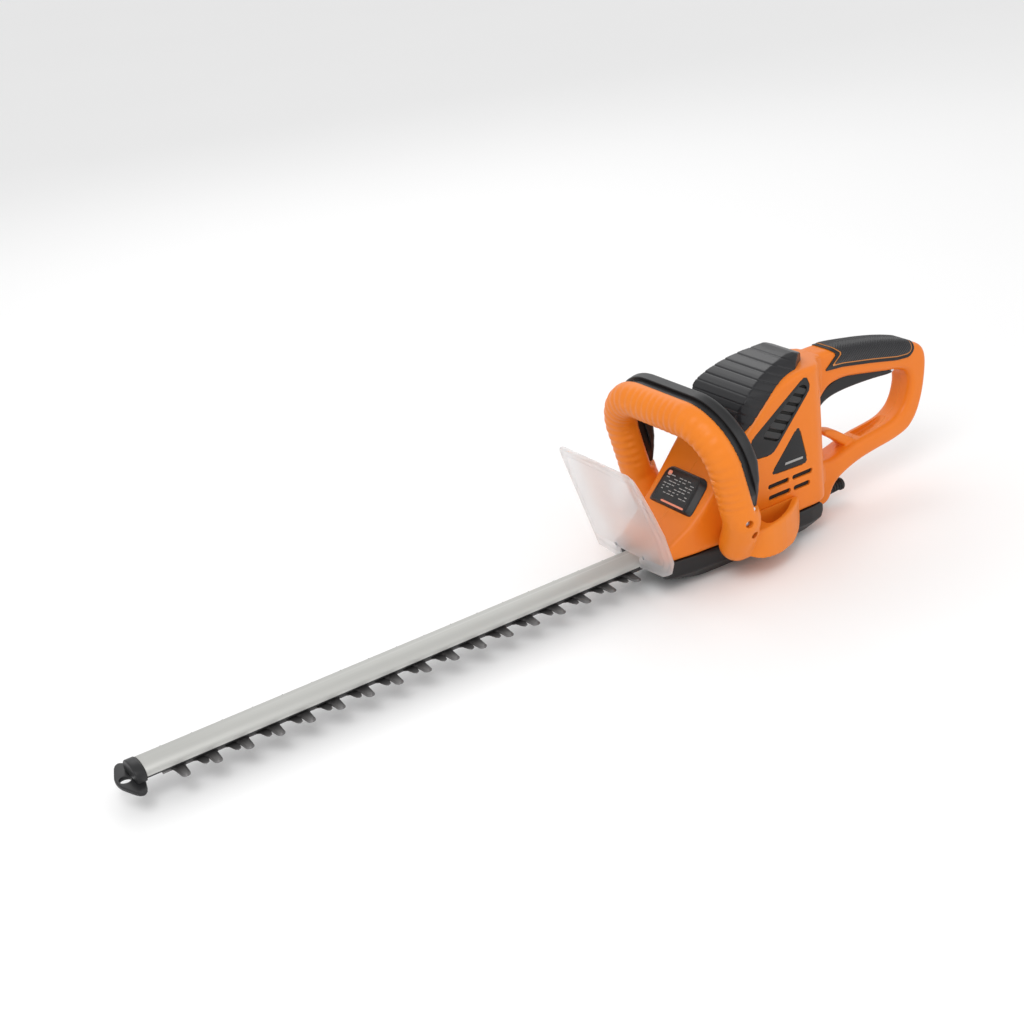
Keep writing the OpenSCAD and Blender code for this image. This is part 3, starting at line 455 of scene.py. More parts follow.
SIDES = ((-1, "left"), (1, "right"))
for side, label in SIDES:
    # Painted shade: a thin black strip on the floor of each slot.
    strips = [slab("strip", [slot_outline(*corner)], *facing(side, 41.9, 42.6), 0.1) for corner in slot_corners]
    strips = joined("slot_mesh_" + label, strips)
    place(strips, mesh_black, "black_shell")

# ---- Screws ----
# Zinc-plated pan-head screws with a cross recess. They hold the shells, the sole, the loop and the guard,
# and each is turned to its own angle, as a hand leaves it.
zinc = finish("zinc_plate", (0.62, 0.62, 0.64), (0.50, 0.50, 0.53), (0.82, 0.82, 0.84), 0.3, 2600, 0.01,
              metallic=1.0)


def new_tree(name, **sizes):
    """A geometry tree with one geometry in and one out, and a named number input for each size."""
    tree = bpy.data.node_groups.new(name, "GeometryNodeTree")
    tree.interface.new_socket("Geometry", in_out="INPUT", socket_type="NodeSocketGeometry")
    tree.interface.new_socket("Geometry", in_out="OUTPUT", socket_type="NodeSocketGeometry")
    for size, value in sizes.items():
        tree.interface.new_socket(size, in_out="INPUT", socket_type="NodeSocketFloat").default_value = value
    return tree, tree.nodes.new("NodeGroupInput")


def add(tree, kind, inputs, **settings):
    """A node of this kind with its settings, whose inputs take a value or a link from a socket."""
    item = tree.nodes.new(kind)
    for name, value in settings.items():
        setattr(item, name, value)
    for name, value in inputs.items():
        socket = item.inputs[name]
        for part in value if isinstance(value, list) else [value]:
            if isinstance(part, bpy.types.NodeSocket):
                tree.links.new(part, socket)
            else:
                socket.default_value = part
    return item.outputs[0] if item.outputs else None


def end_tree(tree, geometry, mat):
    """End a tree in real geometry with one material."""
    real = add(tree, "GeometryNodeRealizeInstances", {"Geometry": geometry})
    painted = add(tree, "GeometryNodeSetMaterial", {"Geometry": real, "Material": mat})
    add(tree, "NodeGroupOutput", {"Geometry": painted})


def grown(name, seeds, tree, sharp=35, **sizes):
    """The plain mesh that a tree grows from seeds, each a place in mm and a turn in degrees."""
    mesh = bpy.data.meshes.new(name)
    mesh.from_pydata([Vector(spot)*MM for spot, _ in seeds], [], [])
    turns = mesh.attributes.new("turn", "FLOAT_VECTOR", "POINT")
    for value, (_, turn) in zip(turns.data, seeds):
        value.vector = [math.radians(angle) for angle in turn]
    piece = bpy.data.objects.new(name, mesh)
    scene.collection.objects.link(piece)
    grow = piece.modifiers.new("grow", "NODES")
    grow.node_group = tree
    for item in tree.interface.items_tree:
        if item.in_out == "INPUT" and item.name in sizes:
            grow[item.identifier] = sizes[item.name]
    return baked(piece, sharp)


def turned_points(tree, source, instance, scale=(1, 1, 1)):
    """One instance on each seed, turned by the seed's own turn."""
    turn = tree.nodes.new("GeometryNodeInputNamedAttribute")
    turn.data_type = "FLOAT_VECTOR"
    turn.inputs["Name"].default_value = "turn"
    angle = add(tree, "FunctionNodeEulerToRotation", {"Euler": turn.outputs["Attribute"]})
    return add(tree, "GeometryNodeInstanceOnPoints", {
        "Points": source.outputs["Geometry"], "Instance": instance, "Rotation": angle, "Scale": scale})


screw_tree, source = new_tree("pan_head_screws", head_radius=0.0034, shank_radius=0.0018, shank_length=0.009)
dome = add(screw_tree, "GeometryNodeMeshUVSphere", {"Segments": 24, "Rings": 14, "Radius": 1.0})
dome = add(screw_tree, "GeometryNodeTransform", {"Geometry": dome, "Scale": (1, 1, 0.62)})
across = add(screw_tree, "GeometryNodeMeshCube", {"Size": (1.25, 0.24, 0.7)})
along = add(screw_tree, "GeometryNodeMeshCube", {"Size": (0.24, 1.25, 0.7)})
cross = add(screw_tree, "GeometryNodeMeshBoolean", {"Mesh 2": [across, along]}, operation="UNION",
            solver="EXACT")
cross = add(screw_tree, "GeometryNodeTransform", {"Geometry": cross, "Translation": (0, 0, 0.6)})
head = add(screw_tree, "GeometryNodeMeshBoolean", {"Mesh 1": dome, "Mesh 2": cross}, operation="DIFFERENCE",
           solver="EXACT")
wide = add(screw_tree, "ShaderNodeCombineXYZ", {
    "X": source.outputs["head_radius"], "Y": source.outputs["head_radius"], "Z": source.outputs["head_radius"]})
head = add(screw_tree, "GeometryNodeTransform", {"Geometry": head, "Scale": wide})
shank = add(screw_tree, "GeometryNodeMeshCylinder", {
    "Vertices": 16, "Radius": source.outputs["shank_radius"], "Depth": source.outputs["shank_length"]})
sink = add(screw_tree, "ShaderNodeMath", {0: source.outputs["shank_length"], 1: -0.5}, operation="MULTIPLY")
down = add(screw_tree, "ShaderNodeCombineXYZ", {"Z": sink})
shank = add(screw_tree, "GeometryNodeTransform", {"Geometry": shank, "Translation": down})
screw = add(screw_tree, "GeometryNodeJoinGeometry", {"Geometry": [head, shank]})
heads = turned_points(screw_tree, source, screw)
spin = screw_tree.nodes.new("FunctionNodeRandomValue")
spin.inputs[3].default_value = math.tau
spin.inputs["Seed"].default_value = 7
twist = add(screw_tree, "ShaderNodeCombineXYZ", {"Z": spin.outputs[1]})
heads = add(screw_tree, "GeometryNodeRotateInstances", {"Instances": heads, "Rotation": twist})
end_tree(screw_tree, heads, zinc)

RIGHT_OUT, LEFT_OUT, FRONT_OUT, DOWN_OUT = (-90, 0, 0), (90, 0, 0), (0, -90, 0), (180, 0, 0)
BASE_SCREWS = [(-100, 22), (-100, -22), (80, 24), (80, -24)]
GUARD_SCREW_YS = (-22, 22)
foot_screws = [(-56, 76, 93.65), (-47, 60, 87.15)]
screw_sets = {
    "housing_screws": [((x, screw_seat(x), z), RIGHT_OUT) for x, z in housing_screws],
    "base_screws": [((x, y, 16), DOWN_OUT) for x, y in BASE_SCREWS],
    "front_handle_screws": [((x, side*seat, z), out) for x, z, seat in foot_screws
                            for side, out in ((-1, LEFT_OUT), (1, RIGHT_OUT))],
    "guard_screws": [((-127, y, 41), FRONT_OUT) for y in GUARD_SCREW_YS],
}
for node, seeds in screw_sets.items():
    place(grown(node + "_heads", seeds, screw_tree), zinc, "zinc_screw", node)

# ---- Vent grilles ----
# A black sheet on the floor of each window is painted shade in the gaps behind them.
# A dark screen closes the gaps behind them.
satin_black = finish("satin_black", (0.010, 0.010, 0.011), (0.016, 0.016, 0.017), (0.06, 0.06, 0.06), 0.38,
                     1500, 0.02)


def pulled_in(points, by):
    """An outline with each corner moved towards the middle by a length in mm."""
    u0 = sum(u for u, _ in points)/len(points)
    v0 = sum(v for _, v in points)/len(points)
    moved = []
    for u, v in points:
        keep = 1 - by/math.dist((u, v), (u0, v0))
        moved.append((u0 + (u - u0)*keep, v0 + (v - v0)*keep))
    return moved


SLAT_TILT = 26
slat_tree, source = new_tree("slats", count=6.0, step_x=0.0076, step_z=0.0071, length=0.025, drop=0.0019,
                             height=0.0066, depth=0.0016)
pace = add(slat_tree, "ShaderNodeCombineXYZ", {"X": source.outputs["step_x"], "Z": source.outputs["step_z"]})
steps = add(slat_tree, "GeometryNodeMeshLine", {"Count": source.outputs["count"], "Offset": pace})
bar = add(slat_tree, "GeometryNodeMeshCylinder", {"Vertices": 16, "Radius": 0.5, "Depth": 1.0})
bar = add(slat_tree, "GeometryNodeTransform", {"Geometry": bar, "Rotation": (0, math.pi/2, 0)})
fewer = add(slat_tree, "ShaderNodeMath", {
    0: add(slat_tree, "GeometryNodeInputIndex", {}), 1: source.outputs["drop"]}, operation="MULTIPLY")
long = add(slat_tree, "ShaderNodeMath", {0: source.outputs["length"], 1: fewer}, operation="SUBTRACT")
size = add(slat_tree, "ShaderNodeCombineXYZ", {
    "X": long, "Y": source.outputs["depth"], "Z": source.outputs["height"]})
slats = add(slat_tree, "GeometryNodeInstanceOnPoints", {
    "Points": steps, "Instance": bar, "Scale": size, "Rotation": (0, math.radians(SLAT_TILT), 0)})
row = add(slat_tree, "GeometryNodeRealizeInstances", {"Geometry": slats})
end_tree(slat_tree, turned_points(slat_tree, source, row), satin_black)

window = [(11, 127.5), (29.5, 118.6), (70, 160), (70.5, 165.5), (62.5, 169), (13.5, 132)]
for side, label in SIDES:
    frame_ring = slab("frame_ring", [softened(pulled_in(grille_outline, 0.5), 1, 3), softened(window, 1, 2)],
                      *facing(side, 42.3, 45.4), 0.5)
    # Painted shade: a black sheet on the window's floor, behind the slats.
    shade_sheet = slab("grille_screen_" + label, [softened(pulled_in(grille_outline, 3), 1, 3)],
                  *facing(side, 42.1, 42.7), 0.1)
    place(shade_sheet, mesh_black, "black_shell")
    slats = grown("slats", [((25.3, side*43.9, 126.4), (0, 0, 0))], slat_tree)
    grille = joined("grille_" + label, [frame_ring, slats])
    place(grille, satin_black, "black_shell", "vent_grille_" + label)

# ---- Badge plates ----
# A glossy black printed plate sunk into each side, plain apart from one light bar.
gloss_black = finish("gloss_black", (0.007, 0.007, 0.008), (0.011, 0.011, 0.012), (0.04, 0.04, 0.04), 0.2,
                     700, 0.01)
print_grey = finish("print_grey", (0.36, 0.36, 0.35), (0.28, 0.28, 0.27), (0.42, 0.42, 0.42), 0.45, 900, 0.005)
for side, label in SIDES:
    plate = slab("badge_" + label + "_plate", [softened(pulled_in(badge_outline, 1.2), 1, 3)],
                 *facing(side, 43.7, 45.2), 0.4)
    place(plate, gloss_black, "black_panel", "badge_" + label)
    bar = slab("badge_" + label + "_bar", [[(37, 90.5), (61, 90), (61, 92.4), (38, 92.9)]],
               *facing(side, 45.15, 45.3),
               0.05)
    place(bar, print_grey, "black_panel")

# ---- Sole ----
# A black ABS pan under the motor and gears, screwed up into the shells. Its sides slope in to a flat sole,
# and its nose is open where the blades come out.
sole_side = softened([(-117, 31.8), (-117, 16), (-87, 7), (-65, 0), (65, 0), (76, 5), (88, 20), (88, 31.8)],
                     1, 3)
sole = slab("sole", [sole_side], -46, 46, 1.2)
sole = blended("sole_pan", [sole], 1.5, 3)
sole_width = [(-117, 36/45), (-81, 42/45), (-36, 1), (70, 1), (88, 0.94)]
for vertex in sole.data.vertices:
    x, y, z = vertex.co/MM
    vertex.co.y *= between(x, sole_width)*between(z, [(0, 30/46), (16, 0.985), (32, 0.985)])
    vertex.co.z = max(0.0, min(31.85*MM, vertex.co.z))
tools = [slab("mouth", [[(-125, 19), (-107, 19), (-107, 36), (-125, 36)]], -16.5, 16.5, 0.3)]
for x, y in BASE_SCREWS:
    tools.append(slab("bore", [circle(x, y, 3.8)], -3, 14.4, 0.1, plane="xy"))
sole = cut_away(sole, tools)
place(sole, satin_black, "black_shell", "base_cover")

# ---- Motor cover ----
# A black cap over the motor, with stepped ribs that lean back like the slats and run round its front and sides.
# They fade out at the smoother rear corners.
RIB_PITCH = 9.0
RIB_DEPTH = 1.1
RIB_LEAN = math.radians(28)


def common(name, first, second):
    """The solid that two solids share."""
    first.name = name
    return cut_away(first, [second], operation="INTERSECT")


cap_side = softened([(-16, 120), (-16, 132), (-13, 158), (-5, 171), (8, 180), (28, 188.5), (50, 193),
                     (72, 195.2),
                     (83, 192), (91, 187), (94, 181.5), (84, 172), (84, 120)], 1, 5)
cap_plan = softened([(-16.5, -31), (-16.5, 31), (-4, 42), (56, 42), (93, 15), (93, -15), (56, -42),
                     (-4, -42)], 2, 5)
cap_front = softened([(-42, 100), (-42, 167), (-37, 181), (-25, 195.4), (25, 195.4), (37, 181), (42, 167),
                      (42, 100)],
                     2, 5)
cap = common("cap", slab("cap_side", [cap_side], -42, 42, 0.5),
             slab("cap_plan", [cap_plan], 90, 210, 0.5, plane="xy"))
cap = common("cap", cap, slab("cap_front", [cap_front], -60, 140, 0.5, plane="yz"))
cap = blended("motor_cap", [cap], 0.9, 5)
normals = [vertex.normal.copy() for vertex in cap.data.vertices]
for vertex, normal in zip(cap.data.vertices, normals):
    x, y, z = vertex.co/MM
    along_cap = x*math.sin(RIB_LEAN) + z*math.cos(RIB_LEAN)
    share = (along_cap/RIB_PITCH) % 1.0
    step = min(1.0, share/0.16)*(1 - share*0.35)
    smooth_corner = between(x + abs(y)*0.35, [(70, 1.0), (78, 0.25)])
    vertex.co -= normal*(1 - step)*RIB_DEPTH*MM*smooth_corner
cap_black = finish("cap_black", (0.010, 0.010, 0.012), (0.016, 0.016, 0.018), (0.06, 0.06, 0.065), 0.30,
                   1500, 0.015)
place(cap, cap_black, "black_shell", "motor_cover")

# ---- Rating panel ----
# A black block on the nose's slope, with chamfered sides, a printed film on top and an orange line along its
# front edge. The print is plain bars.
PANEL_LEAN = -45
panel_place = Matrix.Translation(Vector((-77, 0, 68))*MM) @ Matrix.Rotation(math.radians(PANEL_LEAN), 4, "Y")
panel = slab("rating_block", [softened([(0.5, -33), (4, -34), (36, -33), (42, -27), (42, 27), (36, 33), (4, 34),
                                        (0.5, 33)], 1, 3)], 0.2, 5.0, 0.9, plane="xy")
for vertex in panel.data.vertices:
    rise = vertex.co.z/MM/5
    vertex.co.y *= 1 - 0.2*rise
    vertex.co.x = 0.021 + (vertex.co.x - 0.021)*(1 - 0.1*rise)
panel.data.transform(panel_place)
place(panel, satin_black, "black_panel", "label_panel")

film = slab("rating_film", [softened([(3.2, -24), (38, -24), (38, 24), (3.2, 24)], 1, 3)], 4.9, 5.12, 0.1,
            plane="xy")
film.data.transform(panel_place)
place(film, gloss_black, "black_panel")

print_tree, source = new_tree("printed_bars", width=0.0008, spread=0.0062)
bar = add(print_tree, "GeometryNodeMeshCube", {"Size": (1, 1, 0.00012)})
lengths = print_tree.nodes.new("FunctionNodeRandomValue")
lengths.inputs[2].default_value = 0.35
lengths.inputs[3].default_value = 1.0
lengths.inputs["Seed"].default_value = 11
long = add(print_tree, "ShaderNodeMath", {0: lengths.outputs[1], 1: source.outputs["spread"]},
           operation="MULTIPLY")
size = add(print_tree, "ShaderNodeCombineXYZ", {"X": source.outputs["width"], "Y": long, "Z": 1.0})
end_tree(print_tree, turned_points(print_tree, source, bar, size), print_grey)
seeds = [((32 - 3.2*row, -18 + 6.2*column, 5.15), (0, 0, 0)) for row in range(7) for column in range(7)
         if (row*3 + column*5) % 4]
bars = grown("rating_print", seeds, print_tree)
bars.data.transform(panel_place)
place(bars, print_grey, "black_panel")

print_orange = finish("print_orange", (0.80, 0.24, 0.13), (0.72, 0.20, 0.10), (0.9, 0.4, 0.3), 0.4, 900, 0.005)
line = slab("rating_line", [softened([(3.6, -23), (5.6, -23), (5.6, 12), (3.6, 12)], 1, 1)], 5.1, 5.2, 0.03,
            plane="xy")
mark = slab("rating_mark", [softened([(31, 17), (36, 17), (36, 22.5), (31, 22.5)], 1, 1)], 5.1, 5.2, 0.03,
            plane="xy")
for piece, name in ((line, "rating_line"), (mark, "rating_mark")):
    piece.data.transform(panel_place)
    place(piece, print_orange, "black_panel")

# ---- Front handle ----
# An orange loop moulded in one piece with its two feet, ribbed where the hand holds it. Its back has a channel
# for the switch bar. Two screws through each foot fix it to the housing.
LOOP_HALF = 80.7
LOOP_RISE = 88
LOOP_BEND = 45
LOOP_R = 18.6
loop_place = Matrix.Translation(Vector((-54.5, 0, 88.5))*MM) @ Matrix.Rotation(math.radians(-13.3), 4, "Y")


def loop_stations(low, step=1.3):
    """Stations along the loop, left leg first: Y, Z, the outward direction, and the length so far."""
    side, rise, bend = LOOP_HALF - LOOP_BEND, LOOP_RISE - LOOP_BEND, LOOP_BEND
    stations = []
    leg = round((rise - low)/step)
    for i in range(leg):
        stations.append((-LOOP_HALF, low + (rise - low)*i/leg, -1, 0))
    turn = round(math.pi/2*bend/step)
    for i in range(turn):
        a = math.pi/2*i/turn
        stations.append((-side - bend*math.cos(a), rise + bend*math.sin(a), -math.cos(a), math.sin(a)))
    top = round(side/step)
    for i in range(top):
        stations.append((-side + side*i/top, LOOP_RISE, 0, 1))
    whole = stations + [(0, LOOP_RISE, 0, 1)] + [(-y, z, -oy, oz) for y, z, oy, oz in reversed(stations)]
    length, placed, last = 0.0, [], whole[0]
    for station in whole:
        length += math.dist(station[:2], last[:2])
        placed.append((*station, length))
        last = station
    return placed


def swept(name, stations, section):
    """A closed solid through a ring of (out, back) points at each station."""
    rings = [section(z, length) for _, z, _, _, length in stations]
    count = len(rings[0])
    points = []
    for (y, z, out_y, out_z, _), ring in zip(stations, rings):
        points += [(back*MM, (y + out*out_y)*MM, (z + out*out_z)*MM) for out, back in ring]
    faces = [tuple(range(count)), tuple(range(len(points) - count, len(points)))]
    for i in range(len(stations) - 1):
        for j in range(count):
            k = (j + 1) % count
            faces.append((i*count + j, i*count + k, (i + 1)*count + k, (i + 1)*count + j))
    return built(name, points, faces, loop_place)


GRIP_RIB = 8.6


def handle_section(z, length):
    """The tube with its open channel: an arc round the front, a flat back and a straight-sided slot."""
    crest = 0.5 + 0.5*math.cos(math.tau*length/GRIP_RIB)
    ring = []
    for i in range(41):
        a = math.radians(205*(i/40) - 192.5)
        back = LOOP_R*math.sin(a)
        front_share = between(-back, [(0, 0.0), (9, 1.0)])
        radius = LOOP_R - 1.1*(1 - crest**0.7)*front_share*between(z, [(-2, 0.0), (6, 1.0)])
        ring.append((radius*math.cos(a), min(8.0, radius*math.sin(a))))
    ring += [(14.6, 8), (14.6, -4), (11, -7.9), (-11, -7.9), (-14.6, -4), (-14.6, 8)]
    return ring


loop = swept("loop", loop_stations(-6), handle_section)


def rod(knots, count=40):
    """Solids for a round rod through knots of (place in mm, radius), with round joints."""
    parts = []
    for (start, r0), (end, r1) in zip(knots, knots[1:]):
        a, b = Vector(start)*MM, Vector(end)*MM
        bpy.ops.mesh.primitive_cone_add(vertices=count, radius1=r0*MM, radius2=r1*MM, depth=(b - a).length)
        piece = bpy.context.object
        turn = (b - a).to_track_quat("Z", "Y").to_matrix().to_4x4()
        piece.data.transform(Matrix.Translation((a + b)/2) @ turn)
        parts.append(piece)
    for spot, radius in knots:
        bpy.ops.mesh.primitive_uv_sphere_add(segments=count, ring_count=20, radius=radius*MM)
        piece = bpy.context.object
        piece.data.transform(Matrix.Translation(Vector(spot)*MM))
        parts.append(piece)
    return parts


foot_side = softened([(-55, 54), (-54, 44), (-47, 33), (-34, 25), (-10, 20), (25, 18), (44, 23), (51, 38),
                      (50, 54)],
                     1, 4)
foot_plan = [(-52, 45.15), (-52, 59), (-50, 70), (-44, 78), (-32, 83), (-18, 83), (4, 78), (24, 69), (40, 58),
             (50, 49), (50, 45.15)]
pocket_plan = [(-14, 49), (-14, 77), (2, 74), (20, 65), (36, 53), (42, 49)]
knee = loop_place @ (Vector((0, 0, -15))*MM)/MM
parts = [loop]
for side in (-1, 1):
    low, high = facing(side, 45.2, 88)
    plan_outline = softened([(x, side*y) for x, y in foot_plan], 1, 4)
    foot = common("foot", slab("foot", [plan_outline], 10, 54, 3, plane="xy"),
                  slab("foot_side", [foot_side], low, high, 0.4))
    parts.append(foot)
    parts += rod([((knee.x, side*LOOP_HALF, knee.z), 18.4), ((-48.5, side*74, 58), 18.0),
                  ((-46.5, side*64.3, 41), 17.6), ((-15, side*62, 38), 16.5)])
    bpy.ops.mesh.primitive_cylinder_add(vertices=40, radius=18.5*MM, depth=9.5*MM)
    stub = bpy.context.object
    stub.data.transform(loop_place @ Matrix.Translation(Vector((0, side*LOOP_HALF, -10.8))*MM))
    parts.append(stub)
handle_loop = blended("front_handle_loop", parts, 1.25, 3)
tools = []
for side in (-1, 1):
    for x, z, seat in foot_screws:
        tools.append(slab("recess", [circle(x, z, 4.1)], *facing(side, seat, 120), 0.2))
    pocket = softened([(x, side*y) for x, y in pocket_plan], 1, 4)
    tools.append(slab("pocket", [pocket], 30, 75, 1.5, plane="xy"))
    tools.append(slab("inner", [[(-120, 10), (80, 10), (80, 74), (-120, 74)]], *facing(side, 0, 45.2), 0.2))
handle_loop = cut_away(handle_loop, tools)
handle_orange = finish("handle_orange", (0.82, 0.225, 0.012),
                       (0.76, 0.19, 0.009), (0.93, 0.34, 0.06), 0.4, 1200, 0.03)
place(handle_loop, handle_orange, "orange_shell", "front_handle")

# ---- Front switch bar ----
# The black bar along the back of the loop that the front hand squeezes. It hinges on two pins at its pointed
# ends.


def bar_section(z, length):
    """The bar's neck in the channel and its wider rounded head, both smaller towards the ends."""
    share = between(z, [(-5, 0.0), (12, 0.45), (42, 1.0)])
    head = 8.5 + 9.1*min(1.0, share*1.5)
    back = 15.2 + 11.5*share
    step = min(13.85, back - 1.2)
    neck = min(13.8, head - 0.3)
    curve = min(6.5, (back - step)*0.85)
    ring = [(neck, 0.2), (neck, step), (head - 0.6, step), (head, step + 0.6)]
    for i in range(7):
        a = math.radians(90*i/6)
        ring.append((head - curve*(1 - math.cos(a)), back - curve*(1 - math.sin(a))))
    return ring + [(-out, b) for out, b in reversed(ring)]


bar = swept("switch_bar", loop_stations(-4.5), bar_section)
place(bar, satin_black, "black_shell", "front_switch_bar", body="front_switch_bar")

# ---- Hand guard ----
# A sheet of frosted clear plastic in front of the hand, dished in the middle, with a raised rim and swept-back
# wings. Two screws hold it to the nose.
guard_edge = [(-4, 48), (0, 51), (2, 57), (5, 62.5), (18, 69), (50, 70), (80, 66.5), (107, 62), (115, 60),
              (118.5, 57.5), (121, 52)]
GUARD_FLAT = [(-4, 51), (121, 60)]
GUARD_ROWS, GUARD_COLUMNS = 96, 110
fold = math.radians(25)
points, faces = [], []
for i in range(GUARD_ROWS + 1):
    for j in range(GUARD_COLUMNS + 1):
        t = 2*j/GUARD_COLUMNS - 1
        foot = between(abs(t)*52, [(0, -4), (17, -4), (51, 0)])
        z = foot + (121 - foot)*i/GUARD_ROWS
        half = between(z, guard_edge)
        y = t*half
        flat = between(z, GUARD_FLAT)
        rim = min(half - abs(y), 121 - z, z - foot)
        lift = between(rim, [(0, 0.2), (1.4, 1.3), (3.2, 1.3), (4.6, 0.0), (10, 0.0), (12.5, -2.0),
                             (200, -4.2)])
        wing = max(0.0, abs(y) - flat)
        folded_y = math.copysign(abs(y) - wing*(1 - math.cos(fold)), y)
        points.append(((-lift + wing*math.sin(fold))*MM, folded_y*MM, z*MM))
        if i and j:
            k = len(points) - 1
            faces.append((k, k - 1, k - GUARD_COLUMNS - 2, k - GUARD_COLUMNS - 1))
guard_place = Matrix.Translation(Vector((-128, 0, 31.25))*MM) @ Matrix.Rotation(math.radians(-14.8), 4, "Y")
guard = built("guard_sheet", points, faces, guard_place, 60)
wall = guard.modifiers.new("wall", "SOLIDIFY")
wall.thickness = 2.2*MM
wall.offset = 0
guard = baked(guard, 60)
guard = cut_away(guard, [slab("gap", [[(-150, 20), (-100, 20), (-100, 39.6), (-150, 39.6)]], -16, 16, 0.3)]
                 + [slab("hole", [circle(y, 41, 2.2)], -160, -110, 0.1,
                         plane="yz") for y in GUARD_SCREW_YS], 60)
bosses = [slab("boss", [circle(y, 41, 6), circle(y, 41, 2.2)], -126.4, -115.2, 0.3,
               plane="yz") for y in GUARD_SCREW_YS]
guard = joined("guard_sheet", [guard] + bosses, 60)
frosted = finish("frosted_clear", (0.90, 0.88, 0.88), (0.84, 0.82, 0.82), (0.97, 0.97, 0.97), 0.34, 500, 0.03)
shader = frosted.node_tree.nodes["Principled BSDF"]
shader.inputs["Transmission Weight"].default_value = 0.7
shader.inputs["IOR"].default_value = 1.35
shader.inputs["Alpha"].default_value = 0.6
place(guard, frosted, "clear_guard", "hand_guard")

# ---- Beam ----
# A half-round aluminium extrusion that stiffens the blades, satin-anodised with fine draw lines along it,
# over a black strip that makes the dark band between the beam and the combs. A black cap closes its end.
satin_aluminium = finish("satin_aluminium", (0.52, 0.52, 0.50), (0.45, 0.45, 0.43), (0.66, 0.66, 0.64),
                         0.54, 1800,
                         0.012, metallic=0.65, stretch=(0.012, 1, 1), cloud=6.0)
crown = [(15*math.cos(math.radians(a)), 31.05 + 7.5*math.sin(math.radians(a))) for a in range(0, 181, 6)]
beam = slab("beam", [[(-15, 28.65), (15, 28.65)] + crown], -652, -46, 0.35, plane="yz", steps=2)
place(beam, satin_aluminium, "beam_aluminium", "blade_beam")

strip = slab("beam_strip", [[(-652, -12.5), (-46, -12.5), (-46, 12.5), (-652, 12.5)]], 25.5, 28.5, 0.3,
             plane="xy")
place(strip, satin_black, "dark_strip", "blade_strip")

cap_crown = [(15.9*math.cos(math.radians(a)), 31.05 + 8.2*math.sin(math.radians(a))) for a in range(0, 181, 6)]
cap = slab("beam_cap", [[(-15.9, 25.6), (15.9, 25.6)] + cap_crown], -662, -652.15, 1.6, plane="yz")
place(cap, satin_black, "tip_plastic", "beam_end_cap")

# ---- Tip guard ----
# A flat black moulding in front of the blades that keeps them off a wall, with a hole to hang the tool by.
tip_half = [(-653, 10.6), (-654, 14), (-657, 25), (-660, 29), (-663, 30), (-667, 27), (-671, 17), (-675, 6)]
tip_outline = softened(tip_half + [(x, -y) for x, y in reversed(tip_half)], 1, 3)
tip = slab("tip_plate", [tip_outline, circle(-667, 0, 5)], 21.35, 25.3, 1.2, plane="xy")
place(tip, satin_black, "tip_plastic", "tip_guard")

# ---- Combs ----
# Two punched steel combs that slide against each other. The upper one has long blunt teeth, the lower one short
# ground teeth, with bright bevels where they are sharpened. Slots let them slide past the bolts.
comb_steel = finish("comb_steel", (0.115, 0.112, 0.112), (0.075, 0.073, 0.073), (0.36, 0.35, 0.35), 0.42,
                    1600, 0.02,
                    metallic=0.75, stretch=(1, 0.05, 1))
FIRST_TOOTH_X = -623
TOOTH_PITCH = 30
BACK_HALF = 9.6
BOLT_XS = [-603 + 129.5*i for i in range(5)]


def arc(v0, radius, a0, a1, count):
    """Points of an arc round (0, v0), between two angles in degrees."""
    turns = [math.radians(a0 + (a1 - a0)*i/count) for i in range(count + 1)]
    return [(radius*math.cos(a), v0 + radius*math.sin(a)) for a in turns]


def ground_tooth(name, outline, low, high, bevel):
    """A tooth with its edges ground back on one face, as a solid with a straight edge and a sloped bevel."""
    sharp_z, ground_z = (low, high) if bevel > 0 else (high, low)
    bevel = abs(bevel)
    land = sharp_z + (ground_z - sharp_z)*0.3
    points = []
    for z, cut in ((sharp_z, 0), (land, 0), (ground_z, bevel)):
        for u, v in outline:
            half = max(0.01, abs(u))
            inner = 0 if v < BACK_HALF else cut
            points.append(((u - math.copysign(min(inner, half*0.8), u))*MM, (v - inner*0.9)*MM, z*MM))
    count = len(outline)
    faces = [tuple(range(count)), tuple(range(2*count, 3*count))]
    for layer in (0, count):
        for j in range(count):
            k = (j + 1) % count
            faces.append((layer + j, layer + k, layer + count + k, layer + count + j))
    return built(name, points, faces, sharp=15)


tooth_tree, source = new_tree("teeth_along_the_edge")
tooth_tree.interface.new_socket("tooth", in_out="INPUT", socket_type="NodeSocketObject")
tooth = tooth_tree.nodes.new("GeometryNodeObjectInfo")
tooth_tree.links.new(source.outputs["tooth"], tooth.inputs["Object"])
end_tree(tooth_tree, turned_points(tooth_tree, source, tooth.outputs["Geometry"]), comb_steel)

